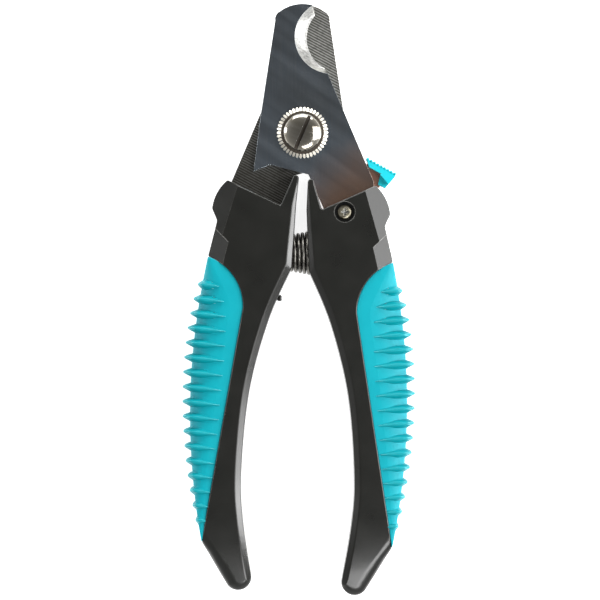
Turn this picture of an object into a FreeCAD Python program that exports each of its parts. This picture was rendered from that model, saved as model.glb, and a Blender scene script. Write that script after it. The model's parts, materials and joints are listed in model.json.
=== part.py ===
"""Scissor nail clipper for pets, lying on its back: sizes in millimetres, +Z up, blades towards +Y.

Two crossed steel blades turn on one screw. Each blade's tang is clamped between the front and
the rear shell of a moulded handle, and a ribbed rubber grip wraps the handle's outer side. A
coil spring pushes the handles apart. A steel latch on the right handle catches the rear
blade's spur and holds the clipper shut. Every piece is drawn about the pivot axis, and the
finished set is moved so that the origin is the centre of its footprint on the table.
"""

import FreeCAD, Part
import math
import os

# ---- Overall sizes ---------------------------------------------------------------------------
HANDLE_REACH = 123.8      # pivot to the toe of the left handle
HANDLE_DEPTH = 15.0       # table to the front faces of the handles
BLADE_REACH = 34.9        # pivot to the tip of the blades
BLADE_THICKNESS = 2.5

# ---- Clearances ------------------------------------------------------------------------------
RUNNING_GAP = 0.05        # shaft to bore, on the radius, and moving face to fixed face
BLADE_GAP = 0.1           # between the two ground faces of the blades
SEAT_GAP = 0.1            # tang to pocket, all round
LATCH_GAP = 0.1           # latch plate to the walls of its slot
PAD_GAP = 0.35            # thumb pad to the collar that it slides round

# ---- Blade outline, about the pivot ----------------------------------------------------------
TIP_HALF_WIDTH = 7.4
TIP_RADIUS = 10.2         # crown of the tip
SHOULDER_Y = 30.3         # where the tip's round shoulder meets the straight side
WAIST = (11.2, 5.5)       # bend in the straight side, distance from the centre line and height
SPUR = (13.2, -10.5)      # corner that the latch catches
SPUR_ROOT = (8.9, -8.6)
TANG_INNER_TOP = (1.6, -11.3)
TANG_INNER_MOUTH = (5.9, -20.9)
TANG_OUTER_MOUTH = (19.3, -13.3)
TANG_OUTER_HIP = (19.6, -19.0)
TANG_LENGTH = 48.5        # pivot to the end of the tang
TANG_END = (10.3, 15.0)   # distances of the tang's end corners from the centre line
NOTCH_RADIUS = 9.15       # cutting edge
NOTCH_CENTRE = (10.24, 25.8)
NOTCH_TOP = (3.37, 31.84)
NOTCH_FOOT = (6.03, 17.56)
EDGE_END = (6.8, 16.1)    # where the cutting edge runs out into the outer side
EDGE_TIP_X = 2.9          # where the cutting edge runs out into the tip's crown
BEVEL_WIDTH = 2.9         # hollow grind behind the cutting edge, seen from the front
EDGE_LAND = 0.3           # upright land left at the very edge
GRIND_EXTRA = 0.6         # the grinding cutter runs on past the bevel
GRIND_LEAN = 0.86         # share of the cutter's reach that it leans sideways
GRIND_SPREAD = 0.5        # the cutter widens by this to its top

# ---- Pivot -----------------------------------------------------------------------------------
SHANK_RADIUS = 2.5
COLLAR_RADIUS = 7.0       # knurled collar under the screw's head
COLLAR_HEIGHT = 1.5
COLLAR_CHAMFER = 0.55     # share of its height
KNURLS = 42
KNURL_DEPTH = 0.35
HEAD_RADIUS = 5.1
HEAD_RIM = 0.5            # height of the head's straight rim under its dome
HEAD_DOME = 1.5
SLOT_WIDTH = 1.05
SLOT_DEPTH = 1.1
SLOT_TURN = -23.0         # degrees from the +Y axis, towards +X
WASHER_THICKNESS = 0.5
WASHER_RADIUS = 5.2
NUT_ACROSS_FLATS = 8.0
NUT_HEIGHT = 2.6

# ---- Handle outline, on the +X side, about the pivot -----------------------------------------
FINGER_TOP_Y = -11.6
FINGER_WIDTH = 1.7        # of the slim finger beside the blade, at its top
LEFT_FINGER_X = 0.97      # finger to the centre line
RIGHT_FINGER_X = 1.9
FINGER_SHOULDER = (1.75, -19.8)
KNEE = (2.7, -36.5)       # where the inner side turns outwards
SEAT_CORNER = (5.9, -19.7)
SEAT_OUTER = (20.2, -12.9)
COLLAR_BULGE = (23.1, -16.4)
COLLAR_CORNER = (24.4, -20.6)
COLLAR_NOTCH = (23.0, -23.8)
GRIP_TOP = (25.5, -33.5)
GRIP_BULGE = 30.4         # outermost line of the grip, without its fins
GRIP_SHOULDER = (16.0, -47.3)
GRIP_SHOULDER_MID = (19.3, -37.8)
GRIP_FOOT_X = 27.2
FOOT_LENGTH = 13.2        # bare handle below the grip
TOE_INNER_X = 13.7
TOE_OUTER_X = 20.8
TOE_TIP_X = 18.0
INNER_CURVE = ((9.0, 0.17), (14.2, 0.40), (16.4, 0.66), (15.9, 0.82))   # x, and share of the way from knee to toe
RIGHT_TURN = -1.5         # degrees that the right handle sits turned on its tang
RIGHT_SHIFT = (-0.15, -1.0)

# ---- Handle walls, grip and fins -------------------------------------------------------------
INNER_BEVEL = 1.3
COLLAR_BEVEL_ACROSS = 3.6
COLLAR_BEVEL_DEEP = 2.8
FOOT_BEVEL = 2.2
GRIP_WALL = 2.2
GRIP_SKIN = 1.8
GRIP_ROUND = 4.5          # rounding of the handle's outer side, grip included
FIN_PITCH = 3.97
FIN_FIRST_DROP = 7.6      # first fin below the top of the grip
FIN_LAST_RISE = 4.5       # last fin above the end of the grip, at least
FIN_HEIGHTS = (1.3, 2.4, 0.7)   # first, middle and last fin
FIN_ROOT = 2.0            # width at the grip
FIN_TIP = 0.5
FIN_REACH_IN = 7.0        # how far a fin runs in across the face
FIN_CORNER = 3.6
FIN_TILT = 5.5            # degrees, outer end higher
FIN_SINK = 0.15           # fin's face below the handle's front face

# ---- Screws ----------------------------------------------------------------------------------
SCREW_RADIUS = 1.1
SCREW_HEAD_RADIUS = 2.0
SCREW_HEAD_HEIGHT = 1.6
SCREW_HEAD_ROOM = 0.25    # counterbore round the head
SCREW_HEAD_SINK = 0.5
SCREW_ROOF = 3.2          # material left beyond the screw's end
RECESS_WIDTH = 0.6        # cross recess
RECESS_SPAN = 2.2
RECESS_DEPTH = 0.9
TANG_SCREWS = ((12.4, -28.5), (12.6, -43.5))
FOOT_SCREW_RISE = 8.8     # above the toe
FOOT_SCREW_X = 19.7

# ---- Latch -----------------------------------------------------------------------------------
LATCH_PIVOT = (11.4, -21.5)
LATCH_THICKNESS = 2.3
LATCH_HUB_RADIUS = 4.0
OPENING = 17.0            # degrees that the handles open
LATCH_RATIO = 1.5         # degrees of latch for each degree of handle
LATCH_LEEWAY = 2.0        # degrees that the slots run on past the latch's travel
NOSE_WIDTH = 1.8
BUSH_RADIUS = 2.0
LATCH_SCREW_ROOM = 0.8    # counterbore round the latch screw's head
LATCH_SCREW_SINK = 1.2
WAVE_WASHER_THICKNESS = 0.4
NOSE_TOP = 10.15          # height of the nose above the latch pivot
NOSE_LEFT = 0.3           # its end, right of the latch pivot
PAD_DEPTH = 8.0
PAD_TEETH = 9
PAD_TOOTH_RADIUS = 0.45
PAD_BAR_LEFT = (5.9, 14.6)      # top of the bar, from the latch pivot
PAD_BAR_RIGHT = (13.95, 10.2)
PAD_BAR_THICKNESS = 1.8
PAD_LEG_WIDTH = 2.0
PAD_LEG_FOOT = (10.0, 6.5)
PAD_LEG_DEPTH = 3.6       # where the leg runs in the collar's slot

# ---- Spring ----------------------------------------------------------------------------------
SPRING_Y = -32.5
WIRE = 1.0
SPRING_LEFT_RADIUS = 4.3  # mean radius of the coil at the left handle
SPRING_RIGHT_RADIUS = 5.4
SPRING_SEAT_LEFT = 3.0    # depth of the seats
SPRING_SEAT_RIGHT = 2.5
SPRING_ROOM = 0.6         # coil to the wall of its seat
COIL_STEP = 1.16          # pitch with the handles closed, in wire diameters

# ---- Stop pip on the left handle's inner side ------------------------------------------------
PIP_X = 6.1
PIP_Y = -46.0
PIP_REACH = 1.0
PIP_ROOT = 0.8            # depth that it stands in the handle
PIP_LENGTH = 2.6
PIP_DEPTH = 2.5

# ---- Heights that follow ---------------------------------------------------------------------
MID = HANDLE_DEPTH / 2
FRONT_BLADE_Z = (MID + BLADE_GAP / 2, MID + BLADE_GAP / 2 + BLADE_THICKNESS)
REAR_BLADE_Z = (MID - BLADE_GAP / 2 - BLADE_THICKNESS, MID - BLADE_GAP / 2)
LATCH_Z = (MID - LATCH_GAP - LATCH_THICKNESS, MID - LATCH_GAP)
LATCH_TRAVEL = OPENING * LATCH_RATIO
WASHER_Z = LATCH_Z[0] - RUNNING_GAP - WAVE_WASHER_THICKNESS
PAD_MID = (LATCH_Z[0] + LATCH_Z[1]) / 2
GRIP_FOOT_Y = -HANDLE_REACH + FOOT_LENGTH
TOE_Y = -HANDLE_REACH
TOE_OUTER = (TOE_OUTER_X, TOE_Y + 2.2)


def vec(x, y, z=0.0):
    """A point."""
    return FreeCAD.Vector(x, y, z)


def line(a, b):
    """Straight edge between two flat points."""
    return Part.LineSegment(vec(*a), vec(*b)).toShape()


def arc(a, b, c):
    """Arc through three flat points."""
    return Part.Arc(vec(*a), vec(*b), vec(*c)).toShape()


def curve(points):
    """Smooth edge through flat points."""
    spline = Part.BSplineCurve()
    spline.interpolate([vec(*p) for p in points])
    return spline.toShape()


def polygon(points):
    """Closed straight-sided wire through flat points."""
    return Part.makePolygon([vec(*p) for p in points] + [vec(*points[0])])


def prism(outline, bottom, top):
    """Solid of a closed flat outline, given as a wire or as edges in order, between two heights."""
    wire = Part.Wire(outline) if isinstance(outline, list) else outline
    face = Part.Face(wire)
    face.translate(vec(0, 0, bottom))
    return face.extrude(vec(0, 0, top - bottom))


def cylinder(radius, bottom, top, at=(0.0, 0.0)):
    """Upright cylinder between two heights."""
    return Part.makeCylinder(radius, top - bottom, vec(*at, bottom))


def fused(shapes):
    """One solid of several that meet."""
    return shapes[0].multiFuse(shapes[1:]).removeSplitter()


def mirrored(shape):
    """The shape on the other side of the centre line."""
    return shape.mirror(vec(0, 0), vec(1, 0, 0))


def turned_over(shape):
    """The shape mirrored across the centre line and across the blades' meeting plane."""
    return mirrored(shape).mirror(vec(0, 0, MID), vec(0, 0, 1))


def seated_right(shape):
    """A handle piece drawn on the +X side, set on the right tang as it really sits."""
    placed = shape.copy()
    placed.rotate(vec(0, 0), vec(0, 0, 1), RIGHT_TURN)
    placed.translate(vec(*RIGHT_SHIFT))
    return placed


def flat_turn(point, degrees, centre=(0.0, 0.0)):
    """A flat point turned about a centre."""
    a = math.radians(degrees)
    x, y = point[0] - centre[0], point[1] - centre[1]
    return (centre[0] + x * math.cos(a) - y * math.sin(a),
            centre[1] + x * math.sin(a) + y * math.cos(a))


# ---- Blades ----------------------------------------------------------------------------------
def tip_crown_y(x):
    """Height of the blade tip's crown at a distance from the centre line."""
    return BLADE_REACH - TIP_RADIUS + math.sqrt(TIP_RADIUS ** 2 - x ** 2)


def left_side(x, y):
    """A point of the blade's own side, which lies left of the centre line."""
    return (-x, y)


def blade_outline():
    """Front blade's edges from the tip round to the cutting edge, tang included."""
    lift = BLADE_REACH - tip_crown_y(TIP_HALF_WIDTH * 0.82)
    crown_end = left_side(TIP_HALF_WIDTH * 0.82, BLADE_REACH - lift)
    crown_mid = left_side(TIP_HALF_WIDTH * 0.3, tip_crown_y(TIP_HALF_WIDTH * 0.3))
    edge_tip = (EDGE_TIP_X, tip_crown_y(EDGE_TIP_X))
    shoulder = left_side(TIP_HALF_WIDTH, SHOULDER_Y)
    shoulder_mid = left_side(TIP_HALF_WIDTH * 0.96, (SHOULDER_Y + crown_end[1]) / 2 + 0.35)
    tang_inner_end = (TANG_END[0], -TANG_LENGTH)
    tang_outer_end = (TANG_END[1], -TANG_LENGTH)
    tang_tip = (sum(TANG_END) / 2, -TANG_LENGTH - (TANG_END[1] - TANG_END[0]) / 2)
    notch_mid = (NOTCH_CENTRE[0] - NOTCH_RADIUS, NOTCH_CENTRE[1])
    return [
        arc(edge_tip, crown_mid, crown_end),
        arc(crown_end, shoulder_mid, shoulder),
        line(shoulder, left_side(*WAIST)),
        line(left_side(*WAIST), left_side(*SPUR)),
        line(left_side(*SPUR), left_side(*SPUR_ROOT)),
        line(left_side(*SPUR_ROOT), TANG_INNER_TOP),
        line(TANG_INNER_TOP, TANG_INNER_MOUTH),
        line(TANG_INNER_MOUTH, tang_inner_end),
        arc(tang_inner_end, tang_tip, tang_outer_end),
        line(tang_outer_end, TANG_OUTER_HIP),
        line(TANG_OUTER_HIP, TANG_OUTER_MOUTH),
        line(TANG_OUTER_MOUTH, EDGE_END),
        line(EDGE_END, NOTCH_FOOT),
        arc(NOTCH_FOOT, notch_mid, NOTCH_TOP),
        line(NOTCH_TOP, edge_tip),
    ]


def hollow_grind(bottom, top):
    """Tool that grinds the front blade's cutting edge: a leaning round cutter along the notch."""
    foot = bottom + EDGE_LAND
    reach = BEVEL_WIDTH + GRIND_EXTRA
    low = Part.Circle(vec(*NOTCH_CENTRE, foot), vec(0, 0, 1), NOTCH_RADIUS).toShape()
    rise = reach * (top - foot) / BEVEL_WIDTH
    high_centre = (NOTCH_CENTRE[0] - reach * GRIND_LEAN, NOTCH_CENTRE[1])
    high = Part.Circle(vec(*high_centre, foot + rise), vec(0, 0, 1), NOTCH_RADIUS + GRIND_SPREAD).toShape()
    return Part.makeLoft([Part.Wire(low), Part.Wire(high)], True, True)


def tang_holes(bottom, top):
    """Holes in the front blade: pivot, latch screw and shell screws."""
    holes = [cylinder(SHANK_RADIUS, bottom, top)]
    holes.append(cylinder(SCREW_RADIUS, bottom, top, LATCH_PIVOT))
    holes += [cylinder(SCREW_RADIUS, bottom, top, at) for at in TANG_SCREWS]
    return holes


def front_blade():
    """Front blade with its tang, ground on its front face."""
    bottom, top = FRONT_BLADE_Z
    plate = prism(blade_outline(), bottom, top)
    plate = plate.cut(hollow_grind(bottom, top))
    for hole in tang_holes(bottom, top):
        plate = plate.cut(hole)
    return plate


def rear_blade():
    """Rear blade: the front blade turned over, with a running bore and no latch hole."""
    bottom, top = FRONT_BLADE_Z
    plate = prism(blade_outline(), bottom, top).cut(hollow_grind(bottom, top))
    plate = plate.cut(cylinder(SHANK_RADIUS + RUNNING_GAP, bottom, top))
    for at in TANG_SCREWS:
        plate = plate.cut(cylinder(SCREW_RADIUS, bottom, top, at))
    return turned_over(plate)


# ---- Pivot -----------------------------------------------------------------------------------
def pivot_pieces():
    """Slotted screw, knurled collar, rear washer and nut, as a dict of solids."""
    seat = FRONT_BLADE_Z[1]
    collar_top = seat + COLLAR_HEIGHT
    rim_top = collar_top + HEAD_RIM
    washer_top = REAR_BLADE_Z[0] - RUNNING_GAP
    nut_top = washer_top - WASHER_THICKNESS
    nut_bottom = nut_top - NUT_HEIGHT
    shank = cylinder(SHANK_RADIUS, nut_bottom, collar_top)
    rim = cylinder(HEAD_RADIUS, collar_top, rim_top)
    dome_radius = (HEAD_RADIUS ** 2 + HEAD_DOME ** 2) / (2 * HEAD_DOME)
    ball = Part.makeSphere(dome_radius, vec(0, 0, rim_top + HEAD_DOME - dome_radius))
    dome = ball.common(cylinder(HEAD_RADIUS, rim_top, rim_top + HEAD_DOME))
    slot = Part.makeBox(SLOT_WIDTH, 4 * HEAD_RADIUS, SLOT_DEPTH + HEAD_DOME)
    slot.translate(vec(-SLOT_WIDTH / 2, -2 * HEAD_RADIUS, rim_top + HEAD_DOME - SLOT_DEPTH))
    slot.rotate(vec(0, 0), vec(0, 0, 1), SLOT_TURN)
    screw = fused([shank, rim, dome]).cut(slot)
    collar = cylinder(COLLAR_RADIUS, seat, collar_top).cut(cylinder(SHANK_RADIUS, seat, collar_top))
    rim_edges = [e for e in collar.Edges if abs(e.Length - 2 * math.pi * COLLAR_RADIUS) < 0.01
                 and abs(e.CenterOfMass.z - collar_top) < 0.01]
    collar = collar.makeChamfer(COLLAR_HEIGHT * COLLAR_CHAMFER, rim_edges)
    notch = Part.makeCylinder(KNURL_DEPTH, 3 * KNURL_DEPTH + 2, vec(COLLAR_RADIUS + 0.9, 0, seat + 0.1), vec(-1, 0, 1))
    cuts = []
    for n in range(KNURLS):
        cut = notch.copy()
        cut.rotate(vec(0, 0), vec(0, 0, 1), 360.0 * n / KNURLS)
        cuts.append(cut)
    collar = collar.cut(Part.makeCompound(cuts))
    washer = cylinder(WASHER_RADIUS, nut_top, washer_top).cut(cylinder(SHANK_RADIUS, nut_top, washer_top))
    corner = NUT_ACROSS_FLATS / math.sqrt(3)
    hexagon = polygon([flat_turn((corner, 0), 60 * n) for n in range(6)])
    nut = prism(hexagon, nut_bottom, nut_top).cut(cylinder(SHANK_RADIUS, nut_bottom, nut_top))
    crown = Part.makeCone(corner + nut_top - nut_bottom - 0.8, corner - 0.3, NUT_HEIGHT,
                          vec(0, 0, nut_top), vec(0, 0, -1))
    return {"pivot_screw": screw, "pivot_collar": collar, "pivot_washer": washer,
            "pivot_nut": nut.common(crown)}


# ---- Handles ---------------------------------------------------------------------------------
def inner_curve_points():
    """Lower inner side of the handle, from the knee to the toe."""
    run = TOE_Y - KNEE[1] + 3.8
    return [KNEE] + [(x, KNEE[1] + share * run) for x, share in INNER_CURVE] + [(TOE_INNER_X, KNEE[1] + run)]


def grip_arc():
    """Outer side of the grip, from its foot up to its top."""
    mid_y = (GRIP_TOP[1] + GRIP_FOOT_Y) / 2
    return arc((GRIP_FOOT_X, GRIP_FOOT_Y), (GRIP_BULGE, mid_y), GRIP_TOP)


def handle_outline(finger_x):
    """Handle's edges, grip included, drawn on the +X side."""
    toe_start = (TOE_INNER_X, TOE_Y + 3.8)
    finger_in = (finger_x, FINGER_TOP_Y - FINGER_WIDTH / 2)
    finger_out = (finger_x + FINGER_WIDTH, FINGER_TOP_Y - FINGER_WIDTH / 2)
    finger_top = (finger_x + FINGER_WIDTH / 2, FINGER_TOP_Y)
    return [
        arc(finger_out, finger_top, finger_in),
        line(finger_in, FINGER_SHOULDER),
        line(FINGER_SHOULDER, KNEE),
        curve(inner_curve_points()),
        arc(toe_start, (TOE_TIP_X - 1.0, TOE_Y), TOE_OUTER),
        line(TOE_OUTER, (GRIP_FOOT_X, GRIP_FOOT_Y)),
        grip_arc(),
        line(GRIP_TOP, COLLAR_NOTCH),
        line(COLLAR_NOTCH, COLLAR_CORNER),
        arc(COLLAR_CORNER, COLLAR_BULGE, SEAT_OUTER),
        line(SEAT_OUTER, SEAT_CORNER),
        line(SEAT_CORNER, finger_out),
    ]


def grip_region(bottom, top, grow=0.0):
    """Space of the grip between two heights, its outer side moved outwards by grow."""
    foot = (GRIP_FOOT_X, GRIP_FOOT_Y)
    mid_y = (GRIP_TOP[1] + GRIP_FOOT_Y) / 2
    outer_foot = (GRIP_FOOT_X + grow, GRIP_FOOT_Y)
    outer_top = (GRIP_TOP[0] + grow, GRIP_TOP[1])
    sides = [arc(outer_foot, (GRIP_BULGE + grow, mid_y), outer_top)]
    if grow:
        sides.append(line(outer_top, GRIP_TOP))
    sides += [arc(GRIP_TOP, GRIP_SHOULDER_MID, GRIP_SHOULDER), line(GRIP_SHOULDER, foot)]
    if grow:
        sides.append(line(foot, outer_foot))
    return prism(sides, bottom, top)


def middle_of(edge):
    """Flat middle point of an edge."""
    return edge.valueAt((edge.FirstParameter + edge.LastParameter) / 2)


def rim_edges(solid, sides):
    """Edges of the solid's front and rear faces that run along the given sides of its outline."""
    found = []
    for edge in solid.Edges:
        mid = middle_of(edge)
        level = abs(edge.Vertexes[0].Z - edge.Vertexes[-1].Z) < 1e-6
        on_face = min(abs(mid.z), abs(mid.z - HANDLE_DEPTH)) < 1e-6
        near = [side for side in sides if math.hypot(mid.x - middle_of(side).x, mid.y - middle_of(side).y) < 0.05]
        if level and on_face and near:
            found.append(edge)
    return found


def side_bevel(a, b, across, deep):
    """Cutter for the front and rear bevels along the straight side from a to b, outside on its right."""
    length = math.hypot(b[0] - a[0], b[1] - a[1])
    profile = Part.makePolygon([
        vec(-across, 0, HANDLE_DEPTH), vec(across, 0, HANDLE_DEPTH - 2 * deep),
        vec(across, 0, HANDLE_DEPTH + 1), vec(-across, 0, HANDLE_DEPTH + 1), vec(-across, 0, HANDLE_DEPTH)])
    front = Part.Face(profile).extrude(vec(0, length, 0))
    front.rotate(vec(0, 0), vec(0, 0, 1), math.degrees(math.atan2(b[1] - a[1], b[0] - a[0])) - 90)
    front.translate(vec(*a))
    return front.fuse(front.mirror(vec(0, 0, MID), vec(0, 0, 1)))


def longer(a, b, extra):
    """The two ends of a straight side, moved apart by an extra length at each."""
    length = math.hypot(b[0] - a[0], b[1] - a[1])
    dx, dy = (b[0] - a[0]) / length * extra, (b[1] - a[1]) / length * extra
    return (a[0] - dx, a[1] - dy), (b[0] + dx, b[1] + dy)


def handle_block(finger_x):
    """A handle with its grip in one piece, bevelled and rounded, on the +X side."""
    sides = handle_outline(finger_x)
    block = prism(sides, 0, HANDLE_DEPTH)
    block = block.makeChamfer(INNER_BEVEL, rim_edges(block, sides[3:4]))
    block = block.makeFillet(GRIP_ROUND, rim_edges(block, sides[6:7]))
    finger_in = (finger_x, FINGER_TOP_Y)
    foot_side = longer(TOE_OUTER, (GRIP_FOOT_X, GRIP_FOOT_Y), 0.5)
    block = block.cut(side_bevel(*foot_side, FOOT_BEVEL, FOOT_BEVEL))
    block = block.cut(side_bevel(KNEE, FINGER_SHOULDER, INNER_BEVEL, INNER_BEVEL))
    block = block.cut(side_bevel(*longer(FINGER_SHOULDER, finger_in, 1.0), INNER_BEVEL / 2, INNER_BEVEL / 2))
    block = block.cut(side_bevel(GRIP_TOP, COLLAR_NOTCH, COLLAR_BEVEL_ACROSS, COLLAR_BEVEL_DEEP))
    collar_side = longer(COLLAR_CORNER, COLLAR_BULGE, 0.2)
    block = block.cut(side_bevel(*collar_side, COLLAR_BEVEL_ACROSS, COLLAR_BEVEL_DEEP))
    return block.cut(side_bevel(COLLAR_BULGE, SEAT_OUTER, COLLAR_BEVEL_ACROSS / 2, COLLAR_BEVEL_DEEP / 2))


def grip_sleeve(grow=0.0):
    """Space that the grip takes: the handle's outer side, and a skin on its front and rear."""
    inside = grip_region(GRIP_SKIN, HANDLE_DEPTH - GRIP_SKIN)
    inside.translate(vec(-GRIP_WALL, 0))
    return grip_region(-1, HANDLE_DEPTH + 1, grow).cut(inside)


def fin_profile(y, tip_x, root_x, grow):
    """Outline of a fin across the handle, square inside and rounded outside."""
    low = FIN_SINK + GRIP_SKIN * (1 - grow)
    high = HANDLE_DEPTH - low
    out = root_x + (tip_x - root_x) * grow
    inner = out - FIN_CORNER - (FIN_REACH_IN - FIN_CORNER) * (0.2 + 0.8 * grow)
    round_out = FIN_CORNER
    bend = round_out * (1 - math.sqrt(0.5))
    return Part.Wire([
        Part.LineSegment(vec(inner, y, low), vec(out - round_out, y, low)).toShape(),
        Part.Arc(vec(out - round_out, y, low), vec(out - bend, y, low + bend), vec(out, y, low + round_out)).toShape(),
        Part.LineSegment(vec(out, y, low + round_out), vec(out, y, high - round_out)).toShape(),
        Part.Arc(vec(out, y, high - round_out), vec(out - bend, y, high - bend),
                 vec(out - round_out, y, high)).toShape(),
        Part.LineSegment(vec(out - round_out, y, high), vec(inner, y, high)).toShape(),
        Part.LineSegment(vec(inner, y, high), vec(inner, y, low)).toShape()])


def grip_edge_x(y):
    """Outer side of the grip at a height."""
    side = grip_arc()
    across = Part.LineSegment(vec(0, y), vec(2 * GRIP_BULGE, y)).toShape()
    return side.distToShape(across)[1][0][0].x


def fin(y, height):
    """One fin of the grip, pointed outwards and tilted up."""
    root_x = grip_edge_x(y) - 0.2
    tip_x = grip_edge_x(y) + height
    steps = [(-FIN_ROOT / 2, 0.0), (-FIN_TIP / 2, 1.0), (FIN_TIP / 2, 1.0), (FIN_ROOT / 2, 0.0)]
    wires = [fin_profile(y + offset, tip_x, root_x, grow) for offset, grow in steps]
    blade = Part.makeLoft(wires, True, True)
    blade.rotate(vec(root_x, y), vec(0, 0, 1), FIN_TILT)
    return blade


def fin_places():
    """Height on the handle and height of stand of every fin, from the top down."""
    run = (GRIP_TOP[1] - FIN_FIRST_DROP) - (GRIP_FOOT_Y + FIN_LAST_RISE)
    count = int(run / FIN_PITCH) + 1
    first, middle, last = FIN_HEIGHTS
    places = []
    for n in range(count):
        share = n / (count - 1)
        bulge = math.sin(math.pi * min(1, share * 1.15)) ** 0.5
        stand = (first + (last - first) * share) * (1 - bulge) + middle * bulge
        places.append((GRIP_TOP[1] - FIN_FIRST_DROP - n * FIN_PITCH, stand))
    return places


def grip(block):
    """Rubber grip with its fins."""
    room = grip_sleeve(2 * max(FIN_HEIGHTS))
    fins = [fin(y, stand).common(room) for y, stand in fin_places()]
    return fused([block.common(grip_sleeve())] + fins)


# ---- Handle shells ---------------------------------------------------------------------------
def pocket(outline, gap, bottom, top):
    """Pocket for a flat piece of the given outline, with a gap all round."""
    face = Part.Face(Part.Wire(outline)).makeOffset2D(gap)
    face.translate(vec(0, 0, bottom))
    return face.extrude(vec(0, 0, top - bottom))


def foot_screw_place():
    """Place of the screw that joins the shells near the toe, on the +X side."""
    return (FOOT_SCREW_X, TOE_Y + FOOT_SCREW_RISE)


def spring_seat(depth, radius, side):
    """Round seat for one end of the spring, bored into a handle from its inner side."""
    face_x = inner_side_x(side)
    start = vec(face_x - side * HANDLE_DEPTH, SPRING_Y, MID)
    seat = Part.makeCylinder(radius + WIRE / 2 + SPRING_ROOM, HANDLE_DEPTH + depth, start, vec(side, 0, 0))
    seat.rotate(start, vec(1, 0, 0), 45)
    return seat


def inner_side_x(side):
    """Distance from the centre line at which a handle's inner side faces the spring."""
    flank = line(FINGER_SHOULDER, KNEE)
    flank = seated_right(flank) if side > 0 else mirrored(flank)
    across = Part.LineSegment(vec(-GRIP_BULGE, SPRING_Y), vec(GRIP_BULGE, SPRING_Y)).toShape()
    return flank.distToShape(across)[1][0][0].x


def shell_screw(at):
    """Screw that holds the two shells together, put in from the rear, with a cross recess."""
    head_top = SCREW_HEAD_SINK + SCREW_HEAD_HEIGHT
    head = cylinder(SCREW_HEAD_RADIUS, SCREW_HEAD_SINK, head_top, at)
    shank = cylinder(SCREW_RADIUS, head_top, HANDLE_DEPTH - SCREW_ROOF, at)
    return head.fuse(shank).cut(cross_recess(at, SCREW_HEAD_SINK)).removeSplitter()


def cross_recess(at, bottom):
    """Cross-shaped recess of a screw, standing on a height."""
    bars = []
    for wide, deep in ((RECESS_SPAN, RECESS_WIDTH), (RECESS_WIDTH, RECESS_SPAN)):
        bars.append(Part.makeBox(wide, deep, RECESS_DEPTH, vec(at[0] - wide / 2, at[1] - deep / 2, bottom)))
    return bars[0].fuse(bars[1])


def shell_screw_hole(at):
    """Hole for a shell screw, with its counterbore in the rear face."""
    room = cylinder(SCREW_HEAD_RADIUS + SCREW_HEAD_ROOM, -1, SCREW_HEAD_SINK + SCREW_HEAD_HEIGHT, at)
    return room.fuse(cylinder(SCREW_RADIUS, 0, HANDLE_DEPTH - SCREW_ROOF, at))


def halves(core):
    """Front and rear shells of a handle's core, split at its middle."""
    box = core.BoundBox
    rear_space = Part.makeBox(box.XLength + 2, box.YLength + 2, MID + 1, vec(box.XMin - 1, box.YMin - 1, -1))
    return core.cut(rear_space), core.common(rear_space)


def side_pieces(finger_x, place, side, cutters):
    """Front shell, rear shell, grip and shell screws of one handle, in their real places."""
    block = handle_block(finger_x)
    rubber = place(grip(block))
    core = place(block.cut(grip_sleeve()))
    foot = place(Part.Vertex(vec(*foot_screw_place()))).Vertexes[0]
    places = [(side * x, y) for x, y in TANG_SCREWS] + [(foot.X, foot.Y)]
    front, rear = halves(core)
    for cutter in cutters + [shell_screw_hole(at) for at in places]:
        front = front.cut(cutter)
        rear = rear.cut(cutter)
    return front, rear, rubber, Part.makeCompound([shell_screw(at) for at in places])


# ---- Latch -----------------------------------------------------------------------------------


def seated_point(point):
    """A flat point of the handle's drawing, placed as on the right tang."""
    x, y = flat_turn(point, RIGHT_TURN)
    return (x + RIGHT_SHIFT[0], y + RIGHT_SHIFT[1])


def collar_reach():
    """Farthest that the right collar comes from the latch's pivot."""
    corners = [seated_point(p) for p in (COLLAR_CORNER, COLLAR_BULGE, SEAT_OUTER)]
    return max(math.hypot(x - LATCH_PIVOT[0], y - LATCH_PIVOT[1]) for x, y in corners)


def from_latch(x, y):
    """A flat point given from the latch's pivot."""
    return (LATCH_PIVOT[0] + x, LATCH_PIVOT[1] + y)


def along_bar(distance, drop):
    """Point of the thumb pad's bar: a distance from its left end and a drop below its top."""
    dx, dy = PAD_BAR_RIGHT[0] - PAD_BAR_LEFT[0], PAD_BAR_RIGHT[1] - PAD_BAR_LEFT[1]
    length = math.hypot(dx, dy)
    ux, uy = dx / length, dy / length
    return from_latch(PAD_BAR_LEFT[0] + ux * distance + uy * drop, PAD_BAR_LEFT[1] + uy * distance - ux * drop)


def bar_length():
    """Length of the thumb pad's bar."""
    return math.hypot(PAD_BAR_RIGHT[0] - PAD_BAR_LEFT[0], PAD_BAR_RIGHT[1] - PAD_BAR_LEFT[1])


def pad_bar():
    """Outline of the thumb pad's bar, whose left end leans like the front blade's edge."""
    long, thick = bar_length(), PAD_BAR_THICKNESS
    return polygon([along_bar(0, 0), along_bar(long, 0), along_bar(long, thick / 2),
                    along_bar(long - thick / 2, thick), along_bar(thick, thick)])


def pad_leg():
    """Outline of the thumb pad's leg, from the bar's right end down to the collar."""
    long, thick = bar_length(), PAD_BAR_THICKNESS
    foot_x, foot_y = PAD_LEG_FOOT
    half = PAD_LEG_WIDTH / 2
    return polygon([along_bar(long, thick / 2), from_latch(foot_x + half, foot_y),
                    from_latch(foot_x - half, foot_y + half / 2),
                    along_bar(long - PAD_LEG_WIDTH - thick, thick), along_bar(long - PAD_LEG_WIDTH - thick, thick / 2)])


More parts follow.
